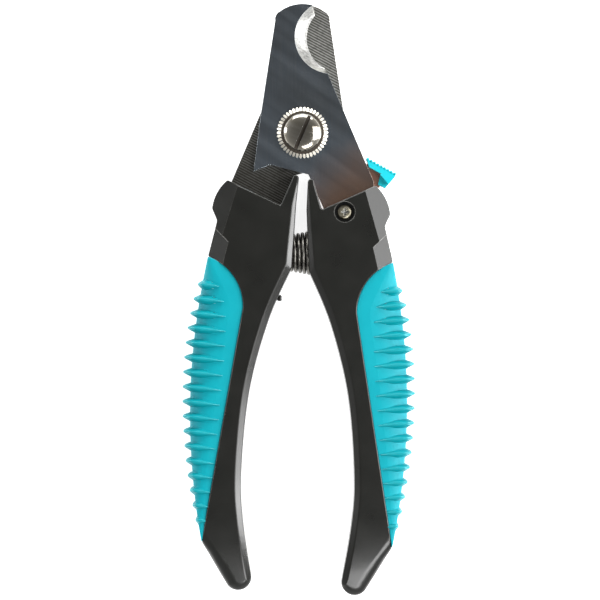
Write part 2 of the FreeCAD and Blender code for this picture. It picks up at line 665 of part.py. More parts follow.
def latch_plate():
    """Steel latch: a hub, a nose that catches the rear blade's spur, and an arm into the thumb pad."""
    bottom, top = LATCH_Z
    hub = cylinder(LATCH_HUB_RADIUS, bottom, top, LATCH_PIVOT)
    long, core = bar_length(), PAD_BAR_THICKNESS / 2
    foot_x, foot_y = PAD_LEG_FOOT
    arm = prism(polygon([
        from_latch(-LATCH_HUB_RADIUS, 0), from_latch(NOSE_LEFT, NOSE_TOP), from_latch(NOSE_LEFT + NOSE_WIDTH, NOSE_TOP),
        along_bar(core, core), along_bar(long - core, core), from_latch(foot_x, foot_y + 1.0),
        from_latch(LATCH_HUB_RADIUS, 0)]), bottom, top)
    return fused([hub, arm]).cut(cylinder(BUSH_RADIUS + RUNNING_GAP, bottom, top, LATCH_PIVOT))


def thumb_pad():
    """Moulded thumb pad on the end of the latch, toothed along its top."""
    bottom, top = PAD_MID - PAD_DEPTH / 2, PAD_MID + PAD_DEPTH / 2
    leg_bottom, leg_top = PAD_MID - PAD_LEG_DEPTH / 2, PAD_MID + PAD_LEG_DEPTH / 2
    bar = prism(pad_bar(), bottom, top)
    clear = collar_reach() + PAD_GAP
    near_collar = cylinder(clear, bottom - 1, leg_bottom, LATCH_PIVOT).fuse(
        cylinder(clear, leg_top, top + 1, LATCH_PIVOT))
    leg = prism(pad_leg(), bottom, top).cut(near_collar)
    pitch = (bar_length() - 2 * PAD_TOOTH_RADIUS) / (PAD_TEETH - 1)
    teeth = [cylinder(PAD_TOOTH_RADIUS, bottom, top, along_bar(PAD_TOOTH_RADIUS + n * pitch, 0.1))
             for n in range(PAD_TEETH)]
    return fused([bar, leg] + teeth).cut(latch_plate())


def latch_room():
    """Slots in the right handle that the latch's plate and the pad's leg swing in."""
    reach = 2 * collar_reach()
    travel = -LATCH_TRAVEL - LATCH_LEEWAY
    foot_x, foot_y = PAD_LEG_FOOT
    nose = from_latch(NOSE_LEFT - LATCH_GAP, NOSE_TOP + LATCH_GAP)
    low_near = flat_turn(from_latch(LATCH_HUB_RADIUS, 0), travel, LATCH_PIVOT)
    low_far = flat_turn(from_latch(foot_x, foot_y + 1.0), travel, LATCH_PIVOT)
    low_out = longer(low_near, low_far, reach)[1]
    plate_sweep = polygon([from_latch(-LATCH_HUB_RADIUS - LATCH_GAP, 0), nose, from_latch(0, reach),
                           from_latch(reach, reach), low_out, low_near])
    plate_slot = prism(plate_sweep, WASHER_Z, MID)
    hub_slot = cylinder(LATCH_HUB_RADIUS + LATCH_GAP, WASHER_Z, MID, LATCH_PIVOT)
    leg_bottom = PAD_MID - PAD_LEG_DEPTH / 2 - PAD_GAP
    leg_top = PAD_MID + PAD_LEG_DEPTH / 2 + PAD_GAP
    half = PAD_LEG_WIDTH / 2
    inner = math.hypot(foot_x - half, foot_y + half / 2) - PAD_GAP
    leg_low = flat_turn(from_latch(foot_x + half, foot_y), travel, LATCH_PIVOT)
    leg_out = longer(LATCH_PIVOT, leg_low, reach)[1]
    leg_sweep = polygon([LATCH_PIVOT, from_latch(0, reach), from_latch(reach, reach), leg_out])
    leg_slot = prism(leg_sweep, leg_bottom, leg_top).cut(cylinder(inner, 0, HANDLE_DEPTH, LATCH_PIVOT))
    return [plate_slot, hub_slot, leg_slot]


def latch_screw_z():
    """Heights of the latch screw's end, of the underside of its head, and of the top of its head."""
    top = HANDLE_DEPTH - LATCH_SCREW_SINK
    return SCREW_ROOF, top - SCREW_HEAD_HEIGHT, top


def latch_screw():
    """Cross-recessed screw that the latch turns on, put in from the front."""
    end, neck, top = latch_screw_z()
    head = cylinder(SCREW_HEAD_RADIUS, neck, top, LATCH_PIVOT)
    shank = cylinder(SCREW_RADIUS, end, neck, LATCH_PIVOT)
    return fused([head, shank]).cut(cross_recess(LATCH_PIVOT, top - RECESS_DEPTH))


def latch_screw_hole():
    """Hole for the latch screw, with its wide counterbore in the front face."""
    end, neck, _ = latch_screw_z()
    room = cylinder(SCREW_HEAD_RADIUS + LATCH_SCREW_ROOM, neck, HANDLE_DEPTH + 1, LATCH_PIVOT)
    return room.fuse(cylinder(SCREW_RADIUS, end, neck, LATCH_PIVOT))


def latch_hardware():
    """The latch's bush and its spring washer."""
    bore = cylinder(SCREW_RADIUS, 0, HANDLE_DEPTH, LATCH_PIVOT)
    bush = cylinder(BUSH_RADIUS, WASHER_Z, FRONT_BLADE_Z[0], LATCH_PIVOT).cut(bore)
    ring = cylinder(LATCH_HUB_RADIUS, WASHER_Z, WASHER_Z + WAVE_WASHER_THICKNESS, LATCH_PIVOT)
    return bush, ring.cut(cylinder(BUSH_RADIUS + RUNNING_GAP, 0, HANDLE_DEPTH, LATCH_PIVOT))


# ---- Spring ----------------------------------------------------------------------------------
def handle_spring():
    """Conical coil between the two handles, on an axis along X."""
    left_end = inner_side_x(-1) - SPRING_SEAT_LEFT + WIRE / 2
    right_end = inner_side_x(1) + SPRING_SEAT_RIGHT - WIRE / 2
    length = right_end - left_end
    flare = math.degrees(math.atan2(SPRING_RIGHT_RADIUS - SPRING_LEFT_RADIUS, length))
    helix = Part.makeHelix(COIL_STEP * WIRE, length, SPRING_LEFT_RADIUS, flare)
    start = helix.Edges[0].valueAt(helix.Edges[0].FirstParameter)
    ring = Part.Wire(Part.makeCircle(WIRE / 2, start, vec(0, 1, 0)))
    coil = Part.Wire(helix.Edges).makePipeShell([ring], True, True)
    coil.rotate(vec(0, 0), vec(0, 1, 0), 90)
    coil.translate(vec(left_end, SPRING_Y, MID))
    return coil


# ---- Assembly --------------------------------------------------------------------------------
def stop_pip():
    """Small pip on the left handle's inner side."""
    return Part.makeBox(PIP_REACH + PIP_ROOT, PIP_LENGTH, PIP_DEPTH, vec(-PIP_X - PIP_ROOT, PIP_Y, MID))


def assembly():
    """Every piece in its place about the pivot, by node name."""
    tang = blade_outline()
    front_pocket = pocket(tang, SEAT_GAP, MID, FRONT_BLADE_Z[1] + SEAT_GAP)
    right_cuts = [front_pocket, spring_seat(SPRING_SEAT_RIGHT, SPRING_RIGHT_RADIUS, 1), latch_screw_hole()]
    left_cuts = [turned_over(front_pocket), spring_seat(SPRING_SEAT_LEFT, SPRING_LEFT_RADIUS, -1)]
    pieces = {"front_blade": front_blade(), "rear_blade": rear_blade()}
    pieces.update(pivot_pieces())
    for name, finger_x, place, side, cutters in (
            ("right", RIGHT_FINGER_X, seated_right, 1, right_cuts + latch_room()),
            ("left", LEFT_FINGER_X, turned_over, -1, left_cuts)):
        front, rear, rubber, screws = side_pieces(finger_x, place, side, cutters)
        pieces[name + "_front_shell"] = front
        pieces[name + "_rear_shell"] = rear
        pieces[name + "_grip"] = rubber
        pieces[name + "_shell_screws"] = screws
    pieces["left_front_shell"] = pieces["left_front_shell"].fuse(stop_pip())
    pieces["handle_spring"] = handle_spring()
    pieces["latch_plate"] = latch_plate()
    pieces["latch_thumb_pad"] = thumb_pad()
    pieces["latch_screw"] = latch_screw()
    pieces["latch_bush"], pieces["latch_washer"] = latch_hardware()
    return pieces


def footprint_centre(pieces):
    """Middle of the set's footprint."""
    boxes = [piece.optimalBoundingBox() for piece in pieces.values()]
    middle_x = (min(box.XMin for box in boxes) + max(box.XMax for box in boxes)) / 2
    middle_y = (min(box.YMin for box in boxes) + max(box.YMax for box in boxes)) / 2
    return middle_x, middle_y


def main():
    """Write every piece, moved so that the origin is the centre of the footprint."""
    os.makedirs("parts", exist_ok=True)
    pieces = assembly()
    middle_x, middle_y = footprint_centre(pieces)
    for name, piece in pieces.items():
        solids = piece.Solids
        shape = solids[0] if len(solids) == 1 else Part.makeCompound(solids)
        shape = shape.copy()
        shape.translate(vec(-middle_x, -middle_y, 0))
        shape.exportStep("parts/" + name + ".step")
        print(name, len(solids), round(shape.Volume, 2), shape.isValid())
    print("pivot at", round(-middle_x, 3), round(-middle_y, 3))
    print("latch pivot at", round(LATCH_PIVOT[0] - middle_x, 3), round(LATCH_PIVOT[1] - middle_y, 3))


main()
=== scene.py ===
"""Looks of the scissor nail clipper: blades, pivot, handles, ribbed grips, spring and latch."""

import json
import math

import bmesh
import bpy
from mathutils import Matrix, Vector

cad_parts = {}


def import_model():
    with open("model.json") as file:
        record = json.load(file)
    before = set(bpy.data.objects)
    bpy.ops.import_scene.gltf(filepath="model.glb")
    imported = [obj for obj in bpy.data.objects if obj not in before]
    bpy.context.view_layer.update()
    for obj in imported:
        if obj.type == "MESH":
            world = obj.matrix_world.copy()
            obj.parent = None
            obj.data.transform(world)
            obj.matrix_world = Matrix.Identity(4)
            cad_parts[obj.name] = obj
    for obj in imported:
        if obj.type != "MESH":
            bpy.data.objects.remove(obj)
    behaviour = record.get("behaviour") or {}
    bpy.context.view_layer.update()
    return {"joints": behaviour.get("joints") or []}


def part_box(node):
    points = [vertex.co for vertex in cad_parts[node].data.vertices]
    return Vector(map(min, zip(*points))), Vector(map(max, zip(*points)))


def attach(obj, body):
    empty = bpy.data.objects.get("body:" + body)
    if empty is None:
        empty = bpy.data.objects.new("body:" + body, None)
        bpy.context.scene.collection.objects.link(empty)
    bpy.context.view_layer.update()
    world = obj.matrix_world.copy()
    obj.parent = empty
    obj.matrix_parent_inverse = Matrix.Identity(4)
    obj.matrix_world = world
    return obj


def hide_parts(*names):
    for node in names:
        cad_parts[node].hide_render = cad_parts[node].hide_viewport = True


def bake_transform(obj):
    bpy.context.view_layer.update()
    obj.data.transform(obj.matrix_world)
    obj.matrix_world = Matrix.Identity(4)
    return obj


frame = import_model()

MM = 0.001
PIVOT = Vector(next(joint["pos_m"] for joint in frame["joints"] if joint["name"] == "handle_pivot"))

# ---- Heights, from the frame
HANDLE_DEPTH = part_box("right_front_shell")[1].z / MM
MID = HANDLE_DEPTH / 2
FRONT_Z = [corner.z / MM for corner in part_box("front_blade")]
COLLAR_Z = [corner.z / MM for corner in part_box("pivot_collar")]
PAD_Z = [corner.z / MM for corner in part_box("latch_thumb_pad")]
PLATE_Z = [corner.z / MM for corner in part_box("latch_plate")]

# ---- Shapes, in millimetres about the pivot, on the +X side
RIGHT_TURN = math.radians(-1.5)
RIGHT_SHIFT = Vector((-0.15, -1.0))
FINGER_TOP = -11.6
SHOULDER = (1.75, -19.8)
KNEE = (2.7, -36.5)
TOE_IN = (13.7, -120.0)
TOE_TIP = (17.0, -123.8)
TOE_OUT = (20.8, -121.6)
GRIP_FOOT = (27.2, -110.6)
GRIP_SIDE = (30.4, -72.05)
GRIP_TOP = (25.5, -33.5)
GRIP_SHOULDER = (16.0, -47.3)
GRIP_SHOULDER_MID = (19.3, -37.8)
COLLAR_NOTCH = (23.0, -23.8)
COLLAR_CORNER = (24.4, -20.6)
COLLAR_BULGE = (23.1, -16.4)
SEAT_OUTER = (20.2, -12.9)
SEAT_CORNER = (5.9, -19.7)


# ---- Flat geometry
def arc(a, b, c, steps):
    """Points on the arc from a through b to c, ends included."""
    ax, ay = a
    bx, by = b
    cx, cy = c
    d = 2 * (ax * (by - cy) + bx * (cy - ay) + cx * (ay - by))
    a2, b2, c2 = ax * ax + ay * ay, bx * bx + by * by, cx * cx + cy * cy
    ox = (a2 * (by - cy) + b2 * (cy - ay) + c2 * (ay - by)) / d
    oy = (a2 * (cx - bx) + b2 * (ax - cx) + c2 * (bx - ax)) / d
    r = math.hypot(ax - ox, ay - oy)
    start, through, end = (math.atan2(y - oy, x - ox) for x, y in (a, b, c))
    sweep = (end - start) % math.tau
    if (through - start) % math.tau > sweep:
        sweep -= math.tau
    return [(ox + r * math.cos(start + sweep * k / steps), oy + r * math.sin(start + sweep * k / steps))
            for k in range(steps + 1)]


def line(a, b, steps=1):
    """Points on the straight from a to b, ends included."""
    return [(a[0] + (b[0] - a[0]) * k / steps, a[1] + (b[1] - a[1]) * k / steps) for k in range(steps + 1)]


def smooth(points, steps):
    """Points on a smooth curve through the given ones."""
    out = []
    for k in range(len(points) - 1):
        p0 = points[max(k - 1, 0)]
        p1, p2 = points[k], points[k + 1]
        p3 = points[min(k + 2, len(points) - 1)]
        for s in range(steps):
            t = s / steps
            out.append(tuple(0.5 * (2 * p1[i] + (p2[i] - p0[i]) * t
                                    + (2 * p0[i] - 5 * p1[i] + 4 * p2[i] - p3[i]) * t * t
                                    + (3 * p1[i] - p0[i] - 3 * p2[i] + p3[i]) * t ** 3) for i in (0, 1)))
    return out + [points[-1]]


def to_left(point):
    """A drawn point as it lies on the left handle."""
    return Vector((-point[0], point[1]))


def rotated(point, angle):
    """A flat point turned about the origin."""
    x, y = point
    return Vector((x * math.cos(angle) - y * math.sin(angle), x * math.sin(angle) + y * math.cos(angle)))


def to_right(point):
    """A drawn point as it lies on the right handle, turned a little on its tang."""
    return rotated(point, RIGHT_TURN) + RIGHT_SHIFT


def world(point, z):
    """A flat point about the pivot and a height, in millimetres, as a place in the frame."""
    return Vector((PIVOT.x + point[0] * MM, PIVOT.y + point[1] * MM, z * MM))


# ---- Meshes
def piece_from(name, verts, faces, materials, indices=None):
    """New object from vertices in metres and faces, with outward normals."""
    mesh = bpy.data.meshes.new(name)
    mesh.from_pydata([tuple(v) for v in verts], [], faces)
    for material in materials:
        mesh.materials.append(material)
    if indices:
        mesh.polygons.foreach_set("material_index", indices)
    bm = bmesh.new()
    bm.from_mesh(mesh)
    bmesh.ops.remove_doubles(bm, verts=bm.verts, dist=0.002 * MM)
    bmesh.ops.recalc_face_normals(bm, faces=bm.faces)
    bm.to_mesh(mesh)
    bm.free()
    obj = bpy.data.objects.new(name, mesh)
    bpy.context.scene.collection.objects.link(obj)
    return obj


def applied(obj):
    """The object with its modifiers made part of its mesh."""
    bpy.context.view_layer.update()
    depsgraph = bpy.context.evaluated_depsgraph_get()
    mesh = bpy.data.meshes.new_from_object(obj.evaluated_get(depsgraph))
    mesh.name = obj.name
    obj.modifiers.clear()
    obj.data = mesh
    return obj


def shaded(obj, sharp=40):
    """Smooth shading that keeps the flats flat and the sharp edges sharp."""
    obj.data.shade_smooth()
    obj.data.set_sharp_from_angle(angle=math.radians(sharp))
    for face in obj.data.polygons:
        if abs(face.normal.z) > 0.9995 and face.area > 3 * MM * MM:
            face.use_smooth = False
    weighted = obj.modifiers.new("face_weight", "WEIGHTED_NORMAL")
    weighted.keep_sharp = True
    weighted.weight = 80
    return applied(obj)


def softened(obj, width, segments=3, angle=28, sharp=50):
    """Round the object's sharp edges to a width in millimetres, and shade it smooth."""
    bevel = obj.modifiers.new("edge_round", "BEVEL")
    bevel.width = width * MM
    bevel.segments = segments
    bevel.limit_method = "ANGLE"
    bevel.angle_limit = math.radians(angle)
    bevel.loop_slide = False
    return shaded(applied(obj), sharp)


def carved(obj, *cutters):
    """Cut the cutters out of the object, and remove them."""
    for cutter in cutters:
        cut = obj.modifiers.new("cut", "BOOLEAN")
        cut.operation = "DIFFERENCE"
        cut.solver = "EXACT"
        cut.material_mode = "TRANSFER"
        cut.object = cutter
        applied(obj)
        bpy.data.objects.remove(cutter)
    return obj


def box_faces(n):
    """Faces of a closed piece between two outlines of n points."""
    walls = [[k, (k + 1) % n, n + (k + 1) % n, n + k] for k in range(n)]
    return [list(range(n))[::-1], list(range(n, 2 * n))] + walls


def band_faces(rings, n):
    """Faces between rings of n points, each ring joined to the next."""
    return [[r * n + k, r * n + (k + 1) % n, (r + 1) * n + (k + 1) % n, (r + 1) * n + k]
            for r in range(rings - 1) for k in range(n)]


def prism(name, outline, z0, z1, materials):
    """Upright plate between two heights, of a flat outline."""
    verts = [world(Vector(p), z) for z in (z0, z1) for p in outline]
    return piece_from(name, verts, box_faces(len(outline)), materials)


def lathe(name, profile, centre, materials, steps=64):
    """Solid turned about an upright axis; profile runs from the axis, up and back to it."""
    turns = [math.tau * k / steps for k in range(steps)]
    verts = [Vector((centre[0] + radius * MM * math.cos(a), centre[1] + radius * MM * math.sin(a), z * MM))
             for radius, z in profile for a in turns]
    return piece_from(name, verts, band_faces(len(profile), steps), materials)


class Rim:
    """Outline of a moulded piece, with how each side is drafted, bevelled or rounded towards its face."""

    CORNER_STEPS = 4

    def __init__(self, corner_radius=0.5, edge_radius=0.3):
        self.corner_radius, self.edge_radius = corner_radius, edge_radius
        self.points, self.widths = [], []

    def side(self, points, draft=0.0, across=0.3, deep=0.3, bow=0.0):
        """Add a side; a width is one number, a pair for its start and end, or a list for its points."""
        last = max(1, len(points) - 2)
        for k, point in enumerate(points[:-1]):
            values = []
            for width in (draft, across, deep, bow):
                if isinstance(width, tuple):
                    width = width[0] + (width[1] - width[0]) * k / last
                elif isinstance(width, list):
                    width = width[k]
                values.append(width)
            self.points.append(Vector(point))
            self.widths.append(values)

    def normals(self):
        """Inward normal of every side."""
        n = len(self.points)
        area = sum(self.points[k - 1].cross(self.points[k]) for k in range(n))
        turn = 1 if area > 0 else -1
        out = []
        for k in range(n):
            along = (self.points[(k + 1) % n] - self.points[k]).normalized()
            out.append(Vector((-along.y, along.x)) * turn)
        return out

    def inset(self, widths, normals):
        """The outline moved in by a width for each side, with sides that turned round closed up."""
        out = []
        for k, point in enumerate(self.points):
            n1, n2, w1, w2 = normals[k - 1], normals[k], widths[k - 1], widths[k]
            det = n1.x * n2.y - n1.y * n2.x
            if abs(det) < 0.15:
                move = (n1 + n2).normalized() * (w1 + w2) / 2
            else:
                move = Vector(((w1 * n2.y - w2 * n1.y) / det, (w2 * n1.x - w1 * n2.x) / det))
            out.append(point + move)
        for _ in range(4):
            for k in range(-1, len(out) - 1):
                if (out[k + 1] - out[k]).dot(self.points[k + 1] - self.points[k]) < 0:
                    out[k] = out[k + 1] = (out[k] + out[k + 1]) / 2
        return out

    def cornered(self, ring, normals):
        """A ring with its corners rounded; every ring gets the same number of points."""
        out = []
        n = len(ring)
        for k, (point, z) in enumerate(ring):
            if normals[k - 1].dot(normals[k]) > 0.88:
                out.append((point, z))
                continue
            before, after = ring[k - 1], ring[(k + 1) % n]
            reach = min(self.corner_radius, (before[0] - point).length / 2.2, (after[0] - point).length / 2.2)
            a = point + (before[0] - point).normalized() * reach
            b = point + (after[0] - point).normalized() * reach
            for s in range(self.CORNER_STEPS + 1):
                t = s / self.CORNER_STEPS
                out.append((a * (1 - t) ** 2 + point * 2 * t * (1 - t) + b * t * t, z))
        return out

    def profile(self, widths, mid, face):
        """Inset and height of every ring for one side, from mid to face, its two edges softened."""
        draft, across, deep, bow = widths
        up = 1 if face > mid else -1
        wall, low, high = (0.0, mid), (draft, face - up * deep), (draft + across, face)
        flat = (draft + across + 1.0, face)
        e = min(self.edge_radius, deep / 2, across / 2)

        def towards(a, b, reach):
            """Point a short way from a to b."""
            length = math.hypot(b[0] - a[0], b[1] - a[1])
            return (a[0] + (b[0] - a[0]) * reach / length, a[1] + (b[1] - a[1]) * reach / length)

        def bend(before, corner, after):
            """Softened corner."""
            a, b = towards(corner, before, e), towards(corner, after, e)
            return [tuple(a[i] * (1 - t) ** 2 + corner[i] * 2 * t * (1 - t) + b[i] * t * t for i in (0, 1))
                    for t in (0.0, 0.33, 0.67, 1.0)]

        facets = bend(wall, low, high) + bend(low, high, flat)
        count = len(facets) - 1
        out = []
        for k, (inset, z) in enumerate(facets):
            a = k / count * math.pi / 2
            arc_inset, arc_z = draft + across * (1 - math.cos(a)), face - up * deep * (1 - math.sin(a))
            out.append((inset * (1 - bow) + arc_inset * bow, z * (1 - bow) + arc_z * bow))
        return [wall] + out

    def rings(self, mid, face):
        """Rings of places from the widest line at mid to the flat at face."""
        normals = self.normals()
        profiles = [self.profile(widths, mid, face) for widths in self.widths]
        out = []
        for level in range(len(profiles[0])):
            places = self.inset([p[level][0] for p in profiles], normals)
            heights = [(profiles[k - 1][level][1] + profiles[k][level][1]) / 2 for k in range(len(profiles))]
            out.append(self.cornered(list(zip(places, heights)), normals))
        return out


def moulding(name, rim, spans, place, materials):
    """Closed moulded piece of one or two spans, each from its mid height to its face."""
    layers = rim.rings(*spans[0])[::-1]
    for span in spans[1:]:
        layers += rim.rings(*span)
    n = len(layers[0])
    verts = [world(place(point), z) for layer in layers for point, z in layer]
    last = (len(layers) - 1) * n
    faces = [list(range(n))] + band_faces(len(layers), n) + [list(range(last, last + n))[::-1]]
    return piece_from(name, verts, faces, materials)


# ---- Node groups that the materials share
def node_group(name, inputs, outputs, kind="ShaderNodeTree"):
    """Empty group with named sockets; returns the group and its two ends."""
    tree = bpy.data.node_groups.new(name, kind)
    for label, socket_kind, default in inputs:
        socket = tree.interface.new_socket(label, in_out="INPUT", socket_type=f"NodeSocket{socket_kind}")
        if default is not None:
            socket.default_value = default
    for label, socket_kind in outputs:
        tree.interface.new_socket(label, in_out="OUTPUT", socket_type=f"NodeSocket{socket_kind}")
    return tree, tree.nodes.new("NodeGroupInput"), tree.nodes.new("NodeGroupOutput")


def add(tree, kind, links=None, **values):
    """New node with properties and input values set, and its inputs linked."""
    node = tree.nodes.new(kind)
    for key, value in values.items():
        if key.startswith("in_"):
            node.inputs[int(key[3:])].default_value = value
        else:
            setattr(node, key, value)
    for index, source in (links or {}).items():
        tree.links.new(source, node.inputs[index])
    return node


def object_places(tree):
    """Coordinates fixed to the piece, for a texture."""
    return add(tree, "ShaderNodeTexCoord").outputs["Object"]


def fine_grain():
    """Speckle and soft mottle of a moulded surface: a mask for colour and a height for bump."""
    tree, ends_in, ends_out = node_group(
        "fine_grain",
        [("Fine Scale", "Float", 3000.0), ("Mottle Scale", "Float", 120.0)],
        [("Mask", "Float"), ("Height", "Float")])
    place = object_places(tree)
    speck = add(tree, "ShaderNodeTexNoise", {0: place, 2: ends_in.outputs[0]}, in_3=3.0)
    mottle = add(tree, "ShaderNodeTexNoise", {0: place, 2: ends_in.outputs[1]}, in_3=4.0)
    both = add(tree, "ShaderNodeMath", {0: speck.outputs[0], 1: mottle.outputs[0]}, operation="MULTIPLY_ADD",
               in_2=0.0)
    tree.links.new(mottle.outputs[0], ends_out.inputs[0])
    tree.links.new(both.outputs[0], ends_out.inputs[1])
    return tree


def grind_lines():
    """Parallel grinding lines that run across a plate at an angle."""
    tree, ends_in, ends_out = node_group(
        "grind_lines",
        [("Angle", "Vector", (0.0, 0.0, 0.0)), ("Scale", "Float", 900.0),
         ("Stretch", "Vector", (0.02, 1.0, 1.0))],
        [("Mask", "Float"), ("Height", "Float")])
    place = object_places(tree)
    turned = add(tree, "ShaderNodeVectorRotate", {0: place, 4: ends_in.outputs[0]},
                 rotation_type="EULER_XYZ")
    pulled = add(tree, "ShaderNodeVectorMath", {0: turned.outputs[0], 1: ends_in.outputs[2]},
                 operation="MULTIPLY")
    noise = add(tree, "ShaderNodeTexNoise", {0: pulled.outputs[0], 2: ends_in.outputs[1]}, in_3=6.0)
    sharpened = add(tree, "ShaderNodeMapRange", {0: noise.outputs[0]}, in_1=0.35, in_2=0.65)
    tree.links.new(sharpened.outputs[0], ends_out.inputs[0])
    tree.links.new(noise.outputs[0], ends_out.inputs[1])
    return tree


def machined_lines():
    """Fine parallel machining marks at an even pitch, a little uneven in depth."""
    tree, ends_in, ends_out = node_group(
        "machined_lines", [("Angle", "Vector", (0.0, 0.0, 0.0)), ("Scale", "Float", 785.0)],
        [("Mask", "Float")])
    place = object_places(tree)
    turned = add(tree, "ShaderNodeVectorRotate", {0: place, 4: ends_in.outputs[0]},
                 rotation_type="EULER_XYZ")
    wave = add(tree, "ShaderNodeTexWave", {0: turned.outputs[0], 1: ends_in.outputs[1]}, bands_direction="Y",
               in_2=0.6, in_3=2.0, in_4=2.0)
    noise = add(tree, "ShaderNodeTexNoise", {0: place}, in_2=900.0, in_3=3.0)
    depth = add(tree, "ShaderNodeMath", {0: wave.outputs["Fac"], 1: noise.outputs[0]}, operation="MULTIPLY")
    tree.links.new(depth.outputs[0], ends_out.inputs[0])
    return tree


def edge_wear():
    """Mask that is high on outward edges, broken up by noise; it marks rubbed edges and paints a bright edge
    highlight.
    """
    tree, ends_in, ends_out = node_group(
        "edge_wear", [("Amount", "Float", 0.5), ("Scale", "Float", 900.0)],
        [("Mask", "Float")])
    place = object_places(tree)
    shape = add(tree, "ShaderNodeNewGeometry")
    soft = add(tree, "ShaderNodeBevel", samples=6, in_0=0.22 * MM)
    turn = add(tree, "ShaderNodeVectorMath", {0: soft.outputs[0], 1: shape.outputs["Normal"]},
               operation="DOT_PRODUCT")
    edge = add(tree, "ShaderNodeMapRange", {0: turn.outputs["Value"]}, in_1=0.995, in_2=0.93)
    noise = add(tree, "ShaderNodeTexNoise", {0: place, 2: ends_in.outputs[1]}, in_3=4.0)
    broken = add(tree, "ShaderNodeMath", {0: edge.outputs[0], 1: noise.outputs[0]}, operation="MULTIPLY")
    scaled = add(tree, "ShaderNodeMath", {0: broken.outputs[0], 1: ends_in.outputs[0]}, operation="MULTIPLY",
                 use_clamp=True)
    tree.links.new(scaled.outputs[0], ends_out.inputs[0])
    return tree


GRAIN = fine_grain()
GRIND = grind_lines()
MACHINED = machined_lines()
EDGE_WEAR_AND_HIGHLIGHT = edge_wear()


# ---- Materials
def linear(r, g, b):
    """Screen colour, 0 to 255, as the shader's colour."""
    levels = [c / 255 for c in (r, g, b)]
    return tuple(c / 12.92 if c <= 0.04 else ((c + 0.055) / 1.055) ** 2.4 for c in levels) + (1.0,)


def new_material(name, **sockets):
    """Material with a principled shader, and its constants set on the shader's own sockets."""
    material = bpy.data.materials.new(name)
    material.use_nodes = True
    tree = material.node_tree
    shader = tree.nodes["Principled BSDF"]
    for label, value in sockets.items():
        shader.inputs[label.replace("_", " ")].default_value = value
    return material, tree, shader


def group_in(tree, group, **values):
    """A shared group placed in a material, with its own values."""
    node = tree.nodes.new("ShaderNodeGroup")
    node.node_tree = group
    for label, value in values.items():
        node.inputs[label.replace("_", " ")].default_value = value
    return node


def blended(tree, mask, low, high):
    """Colour that goes from low to high with a mask."""
    mix = tree.nodes.new("ShaderNodeMix")
    mix.data_type = "RGBA"
    tree.links.new(mask, mix.inputs[0])
    for index, value in ((6, low), (7, high)):
        if isinstance(value, bpy.types.NodeSocket):
            tree.links.new(value, mix.inputs[index])
        else:
            mix.inputs[index].default_value = value
    return mix.outputs[2]


def ranged(tree, source, low, high, from_low=0.0, from_high=1.0):
    """A mask turned into a value between low and high."""
    node = add(tree, "ShaderNodeMapRange", {0: source}, in_1=from_low, in_2=from_high, in_3=low, in_4=high)
    return node.outputs[0]


def wired(tree, shader, colour, roughness, height, strength, distance):
    """Give the shader its colour and roughness, and a bump of so many millimetres on its normal."""
    bump = add(tree, "ShaderNodeBump", {"Height": height}, in_0=strength, in_1=distance * MM)
    tree.links.new(colour, shader.inputs["Base Color"])
    tree.links.new(roughness, shader.inputs["Roughness"])
    tree.links.new(bump.outputs[0], shader.inputs["Normal"])


def steel(name, low, high, angle, scale, roughness, stretch=(0.02, 1.0, 1.0), strength=0.25):
    """Ground or polished steel with lines at an angle."""
    material, tree, shader = new_material(name, Metallic=1.0)
    lines = group_in(tree, GRIND, Angle=(0.0, 0.0, math.radians(angle)), Scale=scale, Stretch=stretch)
    wear_and_highlight = group_in(tree, EDGE_WEAR_AND_HIGHLIGHT, Amount=1.2)
    base = blended(tree, lines.outputs[0], linear(*low), linear(*high))
    # Edges go near white: rubbed steel, and a painted edge highlight.
    colour = blended(tree, wear_and_highlight.outputs[0], base, linear(225, 225, 222))
    wired(tree, shader, colour, ranged(tree, lines.outputs[0], *roughness), lines.outputs[1], strength, 0.01)
    return material


def moulded(name, low, high, roughness, grain=4000.0, coat=0.0, strength=0.15, wear_and_highlight=0.3, lit=(150, 150, 145),
            gloss=0.5):
    """Moulded plastic or rubber with fine grain, mottle, and rubbed edges with a painted highlight."""
    material, tree, shader = new_material(name, Coat_Weight=coat, Coat_Roughness=0.12,
                                          Specular_IOR_Level=gloss)
    spots = group_in(tree, GRAIN, Fine_Scale=grain, Mottle_Scale=140.0)
    worn_and_lit = group_in(tree, EDGE_WEAR_AND_HIGHLIGHT, Amount=wear_and_highlight)
    base = blended(tree, spots.outputs[0], linear(*low), linear(*high))
    # The lit colour on the edges is a painted edge highlight, partly rubbed edges.
    colour = blended(tree, worn_and_lit.outputs[0], base, linear(*lit))
    wired(tree, shader, colour, ranged(tree, spots.outputs[0], *roughness), spots.outputs[1], strength, 0.02)
    return material


